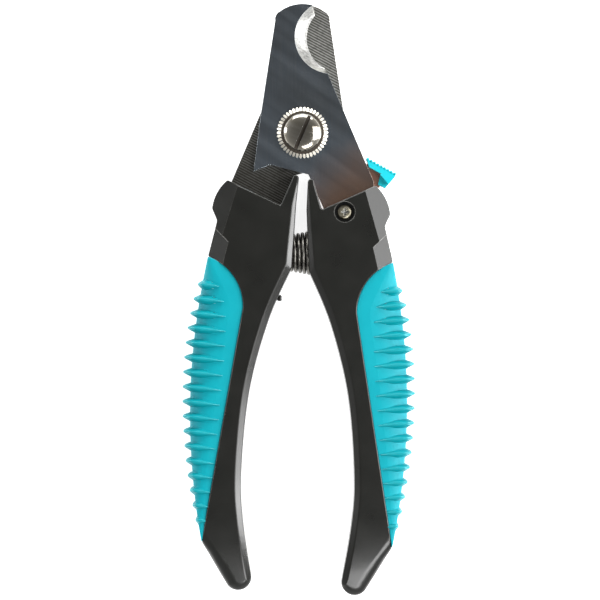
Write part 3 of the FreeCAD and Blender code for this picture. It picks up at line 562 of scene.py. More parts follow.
def blade_steel():
    """Polished blade: blue-grey, with a painted brownish reflection towards its lower right, very fine
    brushing and faint scratches.
    """
    material, tree, shader = new_material("polished_blade", Metallic=1.0, Anisotropic=0.3)
    blotch_noise = group_in(tree, GRAIN, Fine_Scale=260.0, Mottle_Scale=38.0)
    lines = group_in(tree, GRIND, Angle=(0.0, 0.0, math.radians(90)), Scale=2600.0)
    scratches = group_in(tree, GRIND, Angle=(0.0, 0.0, math.radians(35)), Scale=420.0,
                         Stretch=(0.05, 1.0, 1.0))
    # Painted reflection: a brownish tint towards the blade's lower right, broken up by the blotch noise.
    parts = add(tree, "ShaderNodeSeparateXYZ", {0: object_places(tree)})
    fall = add(tree, "ShaderNodeMath", {0: parts.outputs[0], 1: parts.outputs[1]}, operation="SUBTRACT")
    low = add(tree, "ShaderNodeMapRange", {0: fall.outputs[0]}, in_1=-0.046, in_2=-0.012)
    reflection_patch = add(tree, "ShaderNodeMath", {0: low.outputs[0], 1: blotch_noise.outputs[0]}, operation="MULTIPLY")
    brown_reflection_mask = ranged(tree, reflection_patch.outputs[0], 0.0, 1.0, 0.22, 0.62)
    base = blended(tree, lines.outputs[0], linear(152, 164, 176), linear(162, 171, 180))
    with_brown_reflection = blended(tree, brown_reflection_mask, base, linear(196, 160, 138))
    dark = ranged(tree, blotch_noise.outputs[0], 0.0, 0.5, 0.58, 0.35)
    colour = blended(tree, dark, with_brown_reflection, linear(112, 114, 112))
    worn_and_lit = group_in(tree, EDGE_WEAR_AND_HIGHLIGHT, Amount=1.0)
    # Pale painted edge highlight along the blade's edges, partly rubbing.
    edged = blended(tree, worn_and_lit.outputs[0], colour, linear(210, 210, 206))
    wired(tree, shader, edged, ranged(tree, scratches.outputs[0], 0.2, 0.27), lines.outputs[1], 0.05, 0.01)
    return material


def rear_blade_steel():
    """Rear blade: grey, with slanting machining marks, and painted shade that darkens it towards its lower
    end.
    """
    material, tree, shader = new_material("machined_rear_blade", Metallic=1.0)
    marks = group_in(tree, MACHINED, Angle=(0.0, 0.0, math.radians(28)), Scale=470.0)
    blotch_noise = group_in(tree, GRAIN, Fine_Scale=500.0, Mottle_Scale=60.0)
    line = ranged(tree, marks.outputs[0], 0.0, 1.0, 0.12, 0.42)
    base = blended(tree, line, linear(112, 112, 108), linear(238, 238, 232))
    parts = add(tree, "ShaderNodeSeparateXYZ", {0: object_places(tree)})
    # Painted shade: the blade goes darker towards its lower end, where it lies deep under the front blade and
    # the handle.
    low = ranged(tree, parts.outputs[1], 0.75, 0.0, 0.034, 0.06)
    shaded_low_end = blended(tree, low, base, linear(62, 60, 54))
    shade = ranged(tree, blotch_noise.outputs[0], 0.0, 0.35, 0.4, 0.7)
    colour = blended(tree, shade, shaded_low_end, linear(70, 66, 58))
    wired(tree, shader, colour, ranged(tree, line, 0.42, 0.3), marks.outputs[0], 0.35, 0.02)
    return material


EVEN = (1.0, 1.0, 1.0)
BLADE = blade_steel()
REAR_BLADE = rear_blade_steel()
EDGE_GRIND = steel("hollow_ground_edge", (150, 150, 148), (196, 196, 193), 8, 2400.0, (0.34, 0.46),
                   strength=0.12)
CHROME = steel("polished_chrome", (178, 172, 158), (206, 201, 190), 20, 300.0, (0.08, 0.16), strength=0.03)
KNURL_CHROME = steel("satin_chrome", (222, 216, 200), (244, 239, 226), 20, 600.0, (0.34, 0.46),
                     strength=0.05)
ZINC = steel("zinc_plate", (150, 150, 146), (176, 176, 172), 0, 500.0, (0.32, 0.45), EVEN)
SPRING_WIRE = steel("spring_wire", (96, 94, 90), (140, 138, 132), 0, 900.0, (0.25, 0.40), EVEN)
# The lit colours below paint a highlight on the edges of each moulding, partly rubbed edges.
DARK = moulded("gunmetal_black", (15, 16, 13), (26, 26, 23), (0.24, 0.34), coat=0.4, wear_and_highlight=0.8,
               lit=(190, 190, 184))
TEAL = moulded("teal_rubber", (0, 150, 165), (6, 164, 176), (0.42, 0.52), grain=5000.0, wear_and_highlight=0.5,
               lit=(150, 226, 230), gloss=0.22)
PAD_TEAL = moulded("teal_plastic", (18, 184, 200), (38, 200, 212), (0.34, 0.44), grain=4000.0, wear_and_highlight=0.5,
                   lit=(170, 235, 240), gloss=0.22)
# Darker teal as painted shade on the rib flanks, with a strong pale lit colour on the edges as a painted
# highlight along the crests.
RIB_TEAL_SHADE_AND_HIGHLIGHT = moulded("teal_rib", (0, 142, 152), (6, 156, 166), (0.36, 0.46), grain=5000.0, wear_and_highlight=1.4,
                   lit=(160, 236, 238), gloss=0.22)
LATCH_STEEL = steel("latch_steel", (196, 146, 128), (216, 166, 146), 60, 700.0, (0.25, 0.36), strength=0.1)
BLACK_SCREW = steel("blackened_screw", (128, 122, 104), (190, 184, 164), 0, 800.0, (0.3, 0.4), EVEN)
# Painted recess shade: dark brown for the pivot screw's slot and for the collar's body between its knurls.
RECESS_SHADE = moulded("grimy_recess", (34, 29, 22), (70, 60, 46), (0.5, 0.7), wear_and_highlight=0.4)


# ---- Blades
TIP_RADIUS = 10.2
BLADE_REACH = 34.9
SHANK_RADIUS = 2.5
EDGE_LAND = 0.3
CUT_TIP = (2.9, 34.48)
CUT_END = (6.8, 16.1)


def crown(x):
    """Point on the round tip."""
    return (x, BLADE_REACH - TIP_RADIUS + math.sqrt(TIP_RADIUS ** 2 - x ** 2))


def blade(name, place, up, materials, bore):
    """Blade with its tang and the hollow grind behind its cutting edge."""
    z0, z1 = FRONT_Z
    body = arc(CUT_TIP, crown(-2.2), crown(-6.07), 12)[:-1]
    body += arc(crown(-6.07), (-7.1, 31.95), (-7.4, 30.3), 5)
    body += [(-11.2, 5.5), (-13.2, -10.5), (-8.9, -8.6), (1.6, -11.3), (5.9, -20.9), (10.3, -48.5)]
    body += [(15.0, -48.5), (19.6, -19.0), (19.3, -13.3)]
    steps = 40
    edge = [CUT_END] + arc((6.03, 17.56), (1.09, 25.8), (3.37, 31.84), steps - 2) + [CUT_TIP]
    back = arc(CUT_END, (-2.0, 24.8), CUT_TIP, steps)
    rows = 8
    verts = []

    def put(point, z):
        """Add a vertex and give its index."""
        verts.append(world(place(point), MID + up * (z - MID)))
        return len(verts) - 1

    low = [put(p, z0) for p in body] + [put(p, z0) for p in edge[:-1]]
    top = [put(p, z1) for p in body] + [put(p, z1) for p in back[:-1]]
    faces = [low[::-1], top]
    grid = []
    for row in range(rows + 1):
        t = row / rows
        depth = (z1 - z0 - EDGE_LAND) * math.sin(t * math.pi / 2)
        grid.append([put((b[0] + (e[0] - b[0]) * t, b[1] + (e[1] - b[1]) * t), z1 - depth)
                     for b, e in zip(back, edge)])
    foot = [put(e, z0) for e in edge]
    for k in range(len(body)):
        up_end = [grid[row][0] for row in range(rows, 0, -1)] if k == len(body) - 1 else []
        down_tip = [grid[row][steps] for row in range(1, rows + 1)] if k == 0 else []
        faces.append([low[k], low[k + 1]] + up_end + [top[k + 1], top[k]] + down_tip)
    plain = len(faces)
    grid.append(foot)
    for k in range(steps):
        faces += [[grid[row][k], grid[row][k + 1], grid[row + 1][k + 1], grid[row + 1][k]]
                  for row in range(rows + 1)]
    kinds = [0] * plain + [1] * (len(faces) - plain)
    obj = piece_from(name, verts, faces, materials, kinds)
    hole = lathe("hole", [(0.0, -5), (bore, -5), (bore, 20), (0.0, 20)], PIVOT, materials[:1], 48)
    return softened(carved(obj, hole), 0.16, 3, 30, 32)


def blades():
    """The two blades, each with its body; the rear one is the front one turned over."""
    front = blade("front_blade_steel", Vector, 1, [BLADE, EDGE_GRIND], SHANK_RADIUS)
    rear = blade("rear_blade_steel", to_left, -1, [REAR_BLADE, EDGE_GRIND], SHANK_RADIUS + 0.06)
    settle(front, "right_side", "front_blade")
    settle(rear, "left_side", "rear_blade")


# ---- Geometry Nodes
def geometry_tree(name, inputs):
    """Geometry Nodes tree that repeats a piece; returns it, its named inputs and its end."""
    inputs = [("Piece", "Object", None)] + inputs + [("Material", "Material", None)]
    tree, ends_in, ends_out = node_group(name, inputs, [("Geometry", "Geometry")], "GeometryNodeTree")
    return tree, {socket.name: socket for socket in ends_in.outputs}, ends_out


def close_tree(tree, port, ends_out, points, **extras):
    """Put the piece on every point, realize it, give it its material and end the tree."""
    model = add(tree, "GeometryNodeObjectInfo", {0: port["Piece"]})
    placed = add(tree, "GeometryNodeInstanceOnPoints",
                 {0: points, "Instance": model.outputs["Geometry"], **extras})
    real = add(tree, "GeometryNodeRealizeInstances", {0: placed.outputs[0]})
    coloured = add(tree, "GeometryNodeSetMaterial", {0: real.outputs[0], "Material": port["Material"]})
    tree.links.new(coloured.outputs[0], ends_out.inputs[0])
    return tree


def grown(name, tree, **values):
    """Plain mesh that a tree makes with these input values."""
    obj = bpy.data.objects.new(name, bpy.data.meshes.new(name))
    bpy.context.scene.collection.objects.link(obj)
    modifier = obj.modifiers.new("grow", "NODES")
    modifier.node_group = tree
    sockets = {item.name: item.identifier for item in tree.interface.items_tree if item.in_out == "INPUT"}
    for label, value in values.items():
        modifier[sockets[label.replace("_", " ")]] = value
    return applied(obj)


def rib_tree():
    """Ribs set out evenly along an arc, smaller towards its two ends."""
    tree, port, ends_out = geometry_tree("grip_ribs", [
        ("Start", "Vector", None), ("Middle", "Vector", None), ("End", "Vector", None), ("Count", "Int", 17),
        ("First Size", "Float", 0.5), ("Last Size", "Float", 0.3), ("Turn", "Rotation", None)])
    bow = add(tree, "GeometryNodeCurveArc", {label: port[label] for label in ("Start", "Middle", "End")},
              mode="POINTS")
    bow.inputs["Resolution"].default_value = 128
    spots = add(tree, "GeometryNodeCurveToPoints", {0: bow.outputs[0], 1: port["Count"]}, mode="COUNT")
    index = add(tree, "GeometryNodeInputIndex")
    last = add(tree, "ShaderNodeMath", {0: port["Count"]}, operation="SUBTRACT", in_1=1.0)
    share = add(tree, "ShaderNodeMath", {0: index.outputs[0], 1: last.outputs[0]}, operation="DIVIDE")
    back = add(tree, "ShaderNodeMath", {1: share.outputs[0]}, operation="SUBTRACT", in_0=1.0)
    size = add(tree, "ShaderNodeValue").outputs[0]
    size.default_value = 1.0
    for along, end_size, steepness in ((back, "First Size", 8.0), (share, "Last Size", 2.6)):
        loss = add(tree, "ShaderNodeMath", {1: port[end_size]}, operation="SUBTRACT", in_0=1.0)
        power = add(tree, "ShaderNodeMath", {0: along.outputs[0]}, operation="POWER", in_1=steepness)
        drop = add(tree, "ShaderNodeMath", {0: loss.outputs[0], 1: power.outputs[0]}, operation="MULTIPLY")
        size = add(tree, "ShaderNodeMath", {0: size, 1: drop.outputs[0]}, operation="SUBTRACT").outputs[0]
    scale = add(tree, "ShaderNodeCombineXYZ", {0: size}, in_1=1.0, in_2=1.0)
    return close_tree(tree, port, ends_out, spots.outputs[0], Rotation=port["Turn"], Scale=scale.outputs[0])


def ring_tree():
    """One piece repeated round a circle, turned with it."""
    tree, port, ends_out = geometry_tree("ring_of_pieces", [
        ("Centre", "Vector", None), ("Radius", "Float", 0.006), ("Count", "Int", 48)])
    ring = add(tree, "GeometryNodeMeshCircle", {0: port["Count"], 1: port["Radius"]})
    at = add(tree, "GeometryNodeSetPosition", {0: ring.outputs[0], "Offset": port["Centre"]})
    index = add(tree, "GeometryNodeInputIndex")
    step = add(tree, "ShaderNodeMath", {1: port["Count"]}, operation="DIVIDE", in_0=math.tau)
    angle = add(tree, "ShaderNodeMath", {0: index.outputs[0], 1: step.outputs[0]}, operation="MULTIPLY")
    turn = add(tree, "ShaderNodeCombineXYZ", {2: angle.outputs[0]})
    rotation = add(tree, "FunctionNodeEulerToRotation", {0: turn.outputs[0]})
    return close_tree(tree, port, ends_out, at.outputs[0], Rotation=rotation.outputs[0])


def row_tree():
    """One piece repeated along a straight row."""
    tree, port, ends_out = geometry_tree("row_of_pieces", [
        ("Start", "Vector", None), ("Step", "Vector", None), ("Count", "Int", 9)])
    row = add(tree, "GeometryNodeMeshLine", {0: port["Count"], "Start Location": port["Start"],
                                             "Offset": port["Step"]}, mode="OFFSET")
    return close_tree(tree, port, ends_out, row.outputs[0])


def spots_tree():
    """One piece repeated at given places."""
    tree, port, ends_out = geometry_tree("pieces_at_places", [
        ("Places", "Object", None), ("Turn", "Rotation", None)])
    places = add(tree, "GeometryNodeObjectInfo", {0: port["Places"]})
    return close_tree(tree, port, ends_out, places.outputs["Geometry"], Rotation=port["Turn"])


RIBS = rib_tree()
RING = ring_tree()
ROW = row_tree()
SPOTS = spots_tree()


def settle(obj, body, node):
    """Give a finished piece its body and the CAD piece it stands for."""
    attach(obj, body)
    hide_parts(node)


def drop(*models):
    """Remove the models that other pieces were made from."""
    for model in models:
        bpy.data.objects.remove(model)


# ---- Handles
SEAM = 0.03
SPRING_Y = -32.5
SCREW_HEAD = 2.0
SCREW_SHANK = 1.1
LATCH_AT = (11.4, -21.5)
SHELL_SCREWS = ((12.4, -28.5), (12.6, -43.5), (19.7, -115.0))
RIGHT_FINGER = 1.9
LEFT_FINGER = 0.97
FINGER_WIDTH = 1.7
FOOT_START = -101.0
FOOT_STEPS = 14
FOOT_FALL = 0.4
SLOT_FLOOR = 4.65
SLOT_REACH = 27.0
SLOT_TRAVEL = -27.5
LATCH_SCREW_SEAT = 12.2
PIP_X = (-6.8, -5.6)
PIP_Y = (-45.6, -43.9)
PIP_Z = (7.5, 10.0)


def handle_rim(finger_x):
    """Rim of a bare handle, without its grip."""
    rim = Rim(0.6, 0.3)
    tip = FINGER_TOP - FINGER_WIDTH / 2
    outer = finger_x + FINGER_WIDTH
    top = (finger_x + FINGER_WIDTH / 2, FINGER_TOP)
    rim.side(arc((outer, tip), top, (finger_x, tip), 12), 0, 0.3, 0.3, 1)
    rim.side(line((finger_x, tip), SHOULDER, 3), 0, (0.3, 0.9), (0.3, 0.6))
    rim.side(line(SHOULDER, KNEE, 4), (0.0, 0.2), (1.1, 1.5), (0.7, 0.9))
    curve = smooth([KNEE, (9.0, -50.7), (14.2, -69.9), (16.4, -91.6), (15.9, -105.0), TOE_IN], 9)
    rim.side(curve, (0.2, 0.1), (1.7, 1.5), (1.0, 0.9))
    rim.side(arc(TOE_IN, TOE_TIP, TOE_OUT, 10), 0.1, (1.3, 2.8), (1.4, 2.2), (0.4, 1.0))
    rim.side(line(TOE_OUT, GRIP_FOOT, 4), 0.1, (3.2, 2.4), 2.2, 1.0)
    rim.side(line(GRIP_FOOT, GRIP_SHOULDER, 12), 0, 0.14, 0.14)
    rim.side(arc(GRIP_SHOULDER, GRIP_SHOULDER_MID, GRIP_TOP, 14), 0, 0.14, 0.14)
    rim.side([GRIP_TOP, COLLAR_NOTCH], 0, 0.3, 0.3)
    rim.side([COLLAR_NOTCH, COLLAR_CORNER], 0, 0.3, 0.3)
    rim.side(arc(COLLAR_CORNER, COLLAR_BULGE, SEAT_OUTER, 10), 0, 0.3, 0.3)
    rim.side([SEAT_OUTER, SEAT_CORNER], 0, 0.2, 0.2)
    rim.side([SEAT_CORNER, (outer, tip)], 0, 0.3, 0.3)
    return rim


def grip_rim():
    """Rim of a grip: wide and soft on its outer side."""
    rim = Rim(0.4, 0.2)
    border = line(GRIP_FOOT, GRIP_SHOULDER, 60) + arc(GRIP_SHOULDER, GRIP_SHOULDER_MID, GRIP_TOP, 30)
    outer = arc(GRIP_FOOT, GRIP_SIDE, GRIP_TOP, 44)
    room = [min(math.hypot(p[0] - b[0], p[1] - b[1]) for b in border) for p in outer]
    rim.side(outer, 0, [max(0.1, 0.72 * r) for r in room], [max(0.1, min(4.4, 0.5 * r)) for r in room], 1)
    rim.side(arc(GRIP_TOP, GRIP_SHOULDER_MID, GRIP_SHOULDER, 14), 0, 0.14, 0.14)
    rim.side(line(GRIP_SHOULDER, GRIP_FOOT, 12), 0, 0.14, 0.14)
    return rim


def swung(x, y, degrees=0.0):
    """A flat point given from the latch's pivot, turned about it."""
    return Vector(LATCH_AT) + rotated((x, y), math.radians(degrees))


def disc(name, centre, radius, z0, z1, steps=48):
    """Plain upright cylinder about a drawn point."""
    at = world(centre, 0)
    return lathe(name, [(0, z0), (radius, z0), (radius, z1), (0, z1)], at, [DARK], steps)


def leg_slot():
    """Room that the thumb pad's leg swings in."""
    foot = swung(11.0, 6.5, SLOT_TRAVEL)
    along = (foot - Vector(LATCH_AT)).normalized()
    outline = [swung(0.3, 11.4), swung(0, SLOT_REACH), swung(SLOT_REACH, SLOT_REACH),
               foot + along * SLOT_REACH, Vector(LATCH_AT) + along * 11.2, swung(7.6, 8.2)]
    return prism("leg_slot", outline, 4.1, 8.4, [DARK])


def rear_latch_slots():
    """Room in the right rear shell for the latch's plate, its hub and the pad's leg."""
    near, far = swung(4.0, 0, SLOT_TRAVEL), swung(10.0, 7.5, SLOT_TRAVEL)
    outline = [swung(-4.1, 0), swung(0.2, 10.25), swung(0, SLOT_REACH), swung(SLOT_REACH, SLOT_REACH),
               far + (far - near).normalized() * SLOT_REACH, near]
    plate = prism("plate_slot", outline, SLOT_FLOOR, MID + 0.5, [DARK])
    return [plate, disc("hub_slot", LATCH_AT, 4.1, SLOT_FLOOR, MID + 0.4), leg_slot()]


def front_latch_slots():
    """Room in the right front shell for the pad's leg and the latch's screw."""
    return [leg_slot(), disc("counterbore", LATCH_AT, 2.8, LATCH_SCREW_SEAT, 17.0)]


def facet(place, a, b, across, deep, face, before=0.3, beyond=0.3, slants=(0.0, 0.0)):
    """Cutter for a flat bevel along the side from a to b, whose ends may slant back on the inside."""
    u = (Vector(b) - Vector(a)).normalized()
    inward = Vector((-u.y, u.x))
    a, b = Vector(a) - u * before, Vector(b) + u * beyond
    up = 1 if face > MID else -1
    section = ((across, face), (-across, face - 2 * up * deep), (-across, face + up), (across, face + up))
    verts = [world(place(end + inward * x - u * back * max(0, x)), z) for end, back in zip((a, b), slants)
             for x, z in section]
    return piece_from("facet", verts, box_faces(4), [DARK])


def collar_facets(place, face):
    """The big bevels on a collar's outer side."""
    return [facet(place, GRIP_TOP, COLLAR_NOTCH, 4.4, 1.9, face, 3.0, 0.4, (0.0, 1.2)),
            facet(place, COLLAR_CORNER, COLLAR_BULGE, 4.8, 1.8, face, 1.6, 7.0, (1.5, 0.0)),
            facet(place, COLLAR_BULGE, SEAT_OUTER, 2.4, 1.0, face, 0.5, 2.0)]


def spring_bore(side):
    """Round seat for one end of the coil, lying along X."""
    x0, x1, radius = (-12.0, 4.0, 6.5) if side == "right" else (-4.0, 12.0, 5.4)
    bore = lathe("bore", [(0, x0), (radius, x0), (radius, x1), (0, x1)], (0, 0), [DARK], 56)
    bore.data.transform(Matrix.Translation(world((0, SPRING_Y), MID)) @ Matrix.Rotation(math.pi / 2, 4, "Y"))
    return bore


def screw_room(at):
    """Counterbore for one shell screw, in a rear face."""
    return disc("room", at, SCREW_HEAD + 0.25, -1, 2.1, 32)


def droop(shell):
    """Let a shell's face fall away towards its foot, in steps short enough to look round."""
    mesh = bmesh.new()
    mesh.from_mesh(shell.data)
    for step in range(FOOT_STEPS):
        y = FOOT_START + (TOE_TIP[1] - FOOT_START) * step / FOOT_STEPS
        bmesh.ops.bisect_plane(mesh, geom=mesh.verts[:] + mesh.edges[:] + mesh.faces[:],
                               plane_co=world((0, y), MID), plane_no=(0, 1, 0))
    start, end, middle = (world((0, y), MID) for y in (FOOT_START, TOE_TIP[1], TOE_TIP[1]))
    for vert in mesh.verts:
        share = max(0.0, (vert.co.y - start.y) / (end.y - start.y))
        vert.co.z = middle.z + (vert.co.z - middle.z) * (1 - FOOT_FALL * share * share)
    mesh.to_mesh(shell.data)
    mesh.free()
    return shell


def handles():
    """The four shells, the two grips and the pip on the left handle."""
    for side, place, screw_place, finger in (("right", to_right, Vector, RIGHT_FINGER),
                                             ("left", to_left, to_left, LEFT_FINGER)):
        rim = handle_rim(finger)
        body = f"{side}_side"
        for half, start, face in (("front", MID + SEAM, HANDLE_DEPTH), ("rear", MID - SEAM, 0.0)):
            shell = droop(moulding(f"{side}_{half}_moulding", rim, [(start, face)], place, [DARK]))
            cutters = collar_facets(place, face) + [spring_bore(side)]
            if half == "rear":
                cutters += [screw_room(screw_place(at)) for at in SHELL_SCREWS]
            if side == "right":
                cutters += rear_latch_slots() if half == "rear" else front_latch_slots()
            shell = softened(carved(shell, *cutters), 0.14, 2, 32, 36)
            settle(shell, body, f"{side}_{half}_shell")
        grip(side, place, body)
    x0, x1 = PIP_X
    y0, y1 = PIP_Y
    pip = prism("stop_pip", [(x0, y0), (x1, y0), (x1, y1), (x0, y1)], *PIP_Z, [DARK])
    settle(softened(pip, 0.35), "left_side", "left_front_shell")


# ---- Grips
RIB_FIRST, RIB_LAST = -41.1, -104.6
RIB_COUNT = 17
GRIP_SINK = 0.6
RIB_ROOT = -0.9
RIB_STAND = 2.35
RIB_HALF = (5.9, 7.48)
RIB_CORNER = (7.0, 3.8)
RIB_TILT = math.radians(5.5)
RIB_FLANK = ((1.7, 0.0), (1.05, 0.4), (0.58, 0.78), (0.22, 0.98))
RIB_SECTION = [(-y, grow) for y, grow in RIB_FLANK] + list(RIB_FLANK[::-1])


def rib_model(sign):
    """One rib: a ridge that runs in across the front, round the outer side and back in across the rear."""
    turns = [k / 9 * math.pi / 2 for k in range(10)]
    verts = []
    for y, grow in RIB_SECTION:
        out = RIB_ROOT + (RIB_STAND - RIB_ROOT) * grow
        half = RIB_HALF[0] + (RIB_HALF[1] - RIB_HALF[0]) * grow
        corner = RIB_CORNER[0] + (RIB_CORNER[1] - RIB_CORNER[0]) * grow
        quarter = [(out - corner * (1 - math.sin(a)), half - corner * 0.75 * (1 - math.cos(a)))
                   for a in turns]
        path = [(-9.8, half - 0.9), (-8.8, half - 0.2), (-6.0, half)] + quarter
        path += [(x, -z) for x, z in reversed(path)]
        verts += [Vector((sign * x * MM, y * min(1, 1.45 + x / 8) * MM, z * MM)) for x, z in path]
    rows = len(RIB_SECTION)
    n = len(verts) // rows
    faces = [[row * n + k, row * n + k + 1, (row + 1) % rows * n + k + 1, (row + 1) % rows * n + k]
             for row in range(rows) for k in range(n - 1)]
    faces += [[row * n for row in range(rows)], [row * n + n - 1 for row in range(rows)][::-1]]
    return shaded(piece_from("rib_model", verts, faces, [TEAL]), 60)


def outer_side(y):
    """Distance from the centre line to the grip's outer side at a height."""
    spots = arc(GRIP_FOOT, GRIP_SIDE, GRIP_TOP, 400)
    return min(spots, key=lambda p: abs(p[1] - y))[0]


def grip(side, place, body):
    """A grip with its ribs."""
    spans = [(MID, HANDLE_DEPTH - GRIP_SINK), (MID, GRIP_SINK)]
    rubber = shaded(moulding(f"{side}_grip_sleeve", grip_rim(), spans, place, [TEAL]), 40)
    settle(rubber, body, f"{side}_grip")
    model = rib_model(1 if side == "right" else -1)
    start, middle, end = [world(place((outer_side(y), y)), MID)
                          for y in (RIB_FIRST, (RIB_FIRST + RIB_LAST) / 2, RIB_LAST)]
    turn = RIB_TILT + RIGHT_TURN if side == "right" else -RIB_TILT
    # The ribs take the teal with painted flank shade and a painted crest highlight.
    ribs = grown(f"{side}_grip_ribs", RIBS, Piece=model, Start=start, Middle=middle, End=end, Count=RIB_COUNT,
                 First_Size=0.5, Last_Size=0.3, Turn=(0.0, 0.0, turn), Material=RIB_TEAL_SHADE_AND_HIGHLIGHT)
    settle(ribs, body, f"{side}_grip")
    drop(model)


# ---- Screws
def cross(name, centre, top, depth, width=0.6, span=2.2):
    """Cutter for a cross recess in a screw's head."""
    half, arm = width / 2, span / 2
    outline = [(half, half), (arm, half), (arm, -half), (half, -half), (half, -arm), (-half, -arm),
               (-half, -half), (-arm, -half), (-arm, half), (-half, half), (-half, arm), (half, arm)]
    verts = [Vector((centre[0] + x * MM * f, centre[1] + y * MM * f, z * MM))
             for z, f in ((top - depth, 0.7), (top + 1.0, 1.1)) for x, y in outline]
    return piece_from(name, verts, box_faces(len(outline)), [ZINC])


def headed_screw(name, centre, end, neck, top, material):
    """Pan-headed screw with a cross recess, head up."""
    profile = [(0, end), (SCREW_SHANK, end), (SCREW_SHANK, neck), (SCREW_HEAD, neck), (SCREW_HEAD, top - 0.5),
               (SCREW_HEAD - 0.15, top - 0.2), (SCREW_HEAD - 0.5, top), (0, top)]
    screw = lathe(name, profile, centre, [material], 40)
    return softened(carved(screw, cross("recess", centre, top, 0.9)), 0.08, 2, 30, 40)


def shell_screws():
    """Three screws in the rear of each handle."""
    model = headed_screw("screw_model", (0, 0), -11.3, -1.6, 0.0, ZINC)
    for side, place in (("right", Vector), ("left", to_left)):
        mesh = bpy.data.meshes.new("screw_places")
        mesh.from_pydata([tuple(world(place(at), 0.5)) for at in SHELL_SCREWS], [], [])
        places = bpy.data.objects.new("screw_places", mesh)
        bpy.context.scene.collection.objects.link(places)
        screws = grown(f"{side}_handle_screws", SPOTS, Piece=model, Places=places, Turn=(math.pi, 0.0, 0.0),
                       Material=ZINC)
        settle(shaded(screws, 40), f"{side}_side", f"{side}_shell_screws")
        drop(places)
    drop(model)


# ---- Pivot
HEAD_RADIUS = 5.1
HEAD_DOME = 1.5
SLOT_TURN = math.radians(-23)
SLOT_WIDTH = 1.06
COLLAR_RADIUS = 7.0
KNURLS = 42


def pivot():
    """Domed and slotted pivot screw, and its knurled collar."""
    seat, top = COLLAR_Z
    rim = top + 0.5
    dome = [(HEAD_RADIUS * math.cos(k / 10 * math.pi / 2), rim + HEAD_DOME * math.sin(k / 10 * math.pi / 2))
            for k in range(11)]
    shank = [(0, 1.9), (SHANK_RADIUS, 1.9), (SHANK_RADIUS, top), (HEAD_RADIUS, top)]
    screw = lathe("slotted_pivot_screw", shank + dome, PIVOT, [CHROME], 96)
    along = Vector((-math.sin(SLOT_TURN), math.cos(SLOT_TURN))) * 8
    across = Vector((math.cos(SLOT_TURN), math.sin(SLOT_TURN))) * SLOT_WIDTH / 2
    outline = [along * s + across * t for s, t in ((-1, -1), (1, -1), (1, 1), (-1, 1))]
    # The slot's cut faces are painted dark as recess shade.
    slot = prism("slot", outline, rim + 0.4, rim + 4, [RECESS_SHADE])
    screw = softened(carved(screw, slot), 0.14, 3, 35, 40)
    settle(screw, "right_side", "pivot_screw")
    profile = [(SHANK_RADIUS, seat), (6.35, seat), (6.35, seat + 0.75), (5.75, top), (SHANK_RADIUS, top),
               (SHANK_RADIUS, seat)]
    # The collar's body is painted dark as shade between the knurl beads.
    collar = softened(lathe("knurled_collar", profile, PIVOT, [RECESS_SHADE], 96), 0.1, 2, 30, 40)
    settle(collar, "right_side", "pivot_collar")
    tooth = knurl_model(seat, top)
    beads = grown("collar_knurls", RING, Piece=tooth, Centre=(PIVOT.x, PIVOT.y, 0.0),
                  Radius=COLLAR_RADIUS * MM, Count=KNURLS, Material=KNURL_CHROME)
    settle(beads, "right_side", "pivot_collar")
    drop(tooth)


def knurl_model(seat, top):
    """One knurl of the collar, pointing along X from its tip."""
    flank = [(-1.2, -0.3), (-0.35, -0.36), (-0.06, -0.2)]
    section = flank + [(0.0, 0.0)] + [(x, -y) for x, y in reversed(flank)]
    verts = [Vector((x * MM, y * MM, (seat + 0.05) * MM)) for x, y in section]
    verts += [Vector(((x - 0.05) * MM, y * MM, (seat + 0.72 - x * 0.6) * MM)) for x, y in section]
    return shaded(piece_from("knurl_model", verts, box_faces(len(section)), [CHROME]), 45)


# ---- Latch
PAD_LEG_RADIUS = 13.9
BAR_LEFT = Vector((5.9, 14.6))
BAR_RIGHT = Vector((13.95, 10.2))
BAR_THICK = 1.8
PAD_TEETH = 9
TOOTH = 0.45


def by_latch(x, y):
    """A flat point given from the latch's pivot."""
    return (LATCH_AT[0] + x, LATCH_AT[1] + y)


def on_bar(distance, drop_by):
    """Point of the thumb pad's bar: a distance from its left end and a drop below its top."""
    u = (BAR_RIGHT - BAR_LEFT).normalized()
    return by_latch(*(BAR_LEFT + u * distance + Vector((u.y, -u.x)) * drop_by))


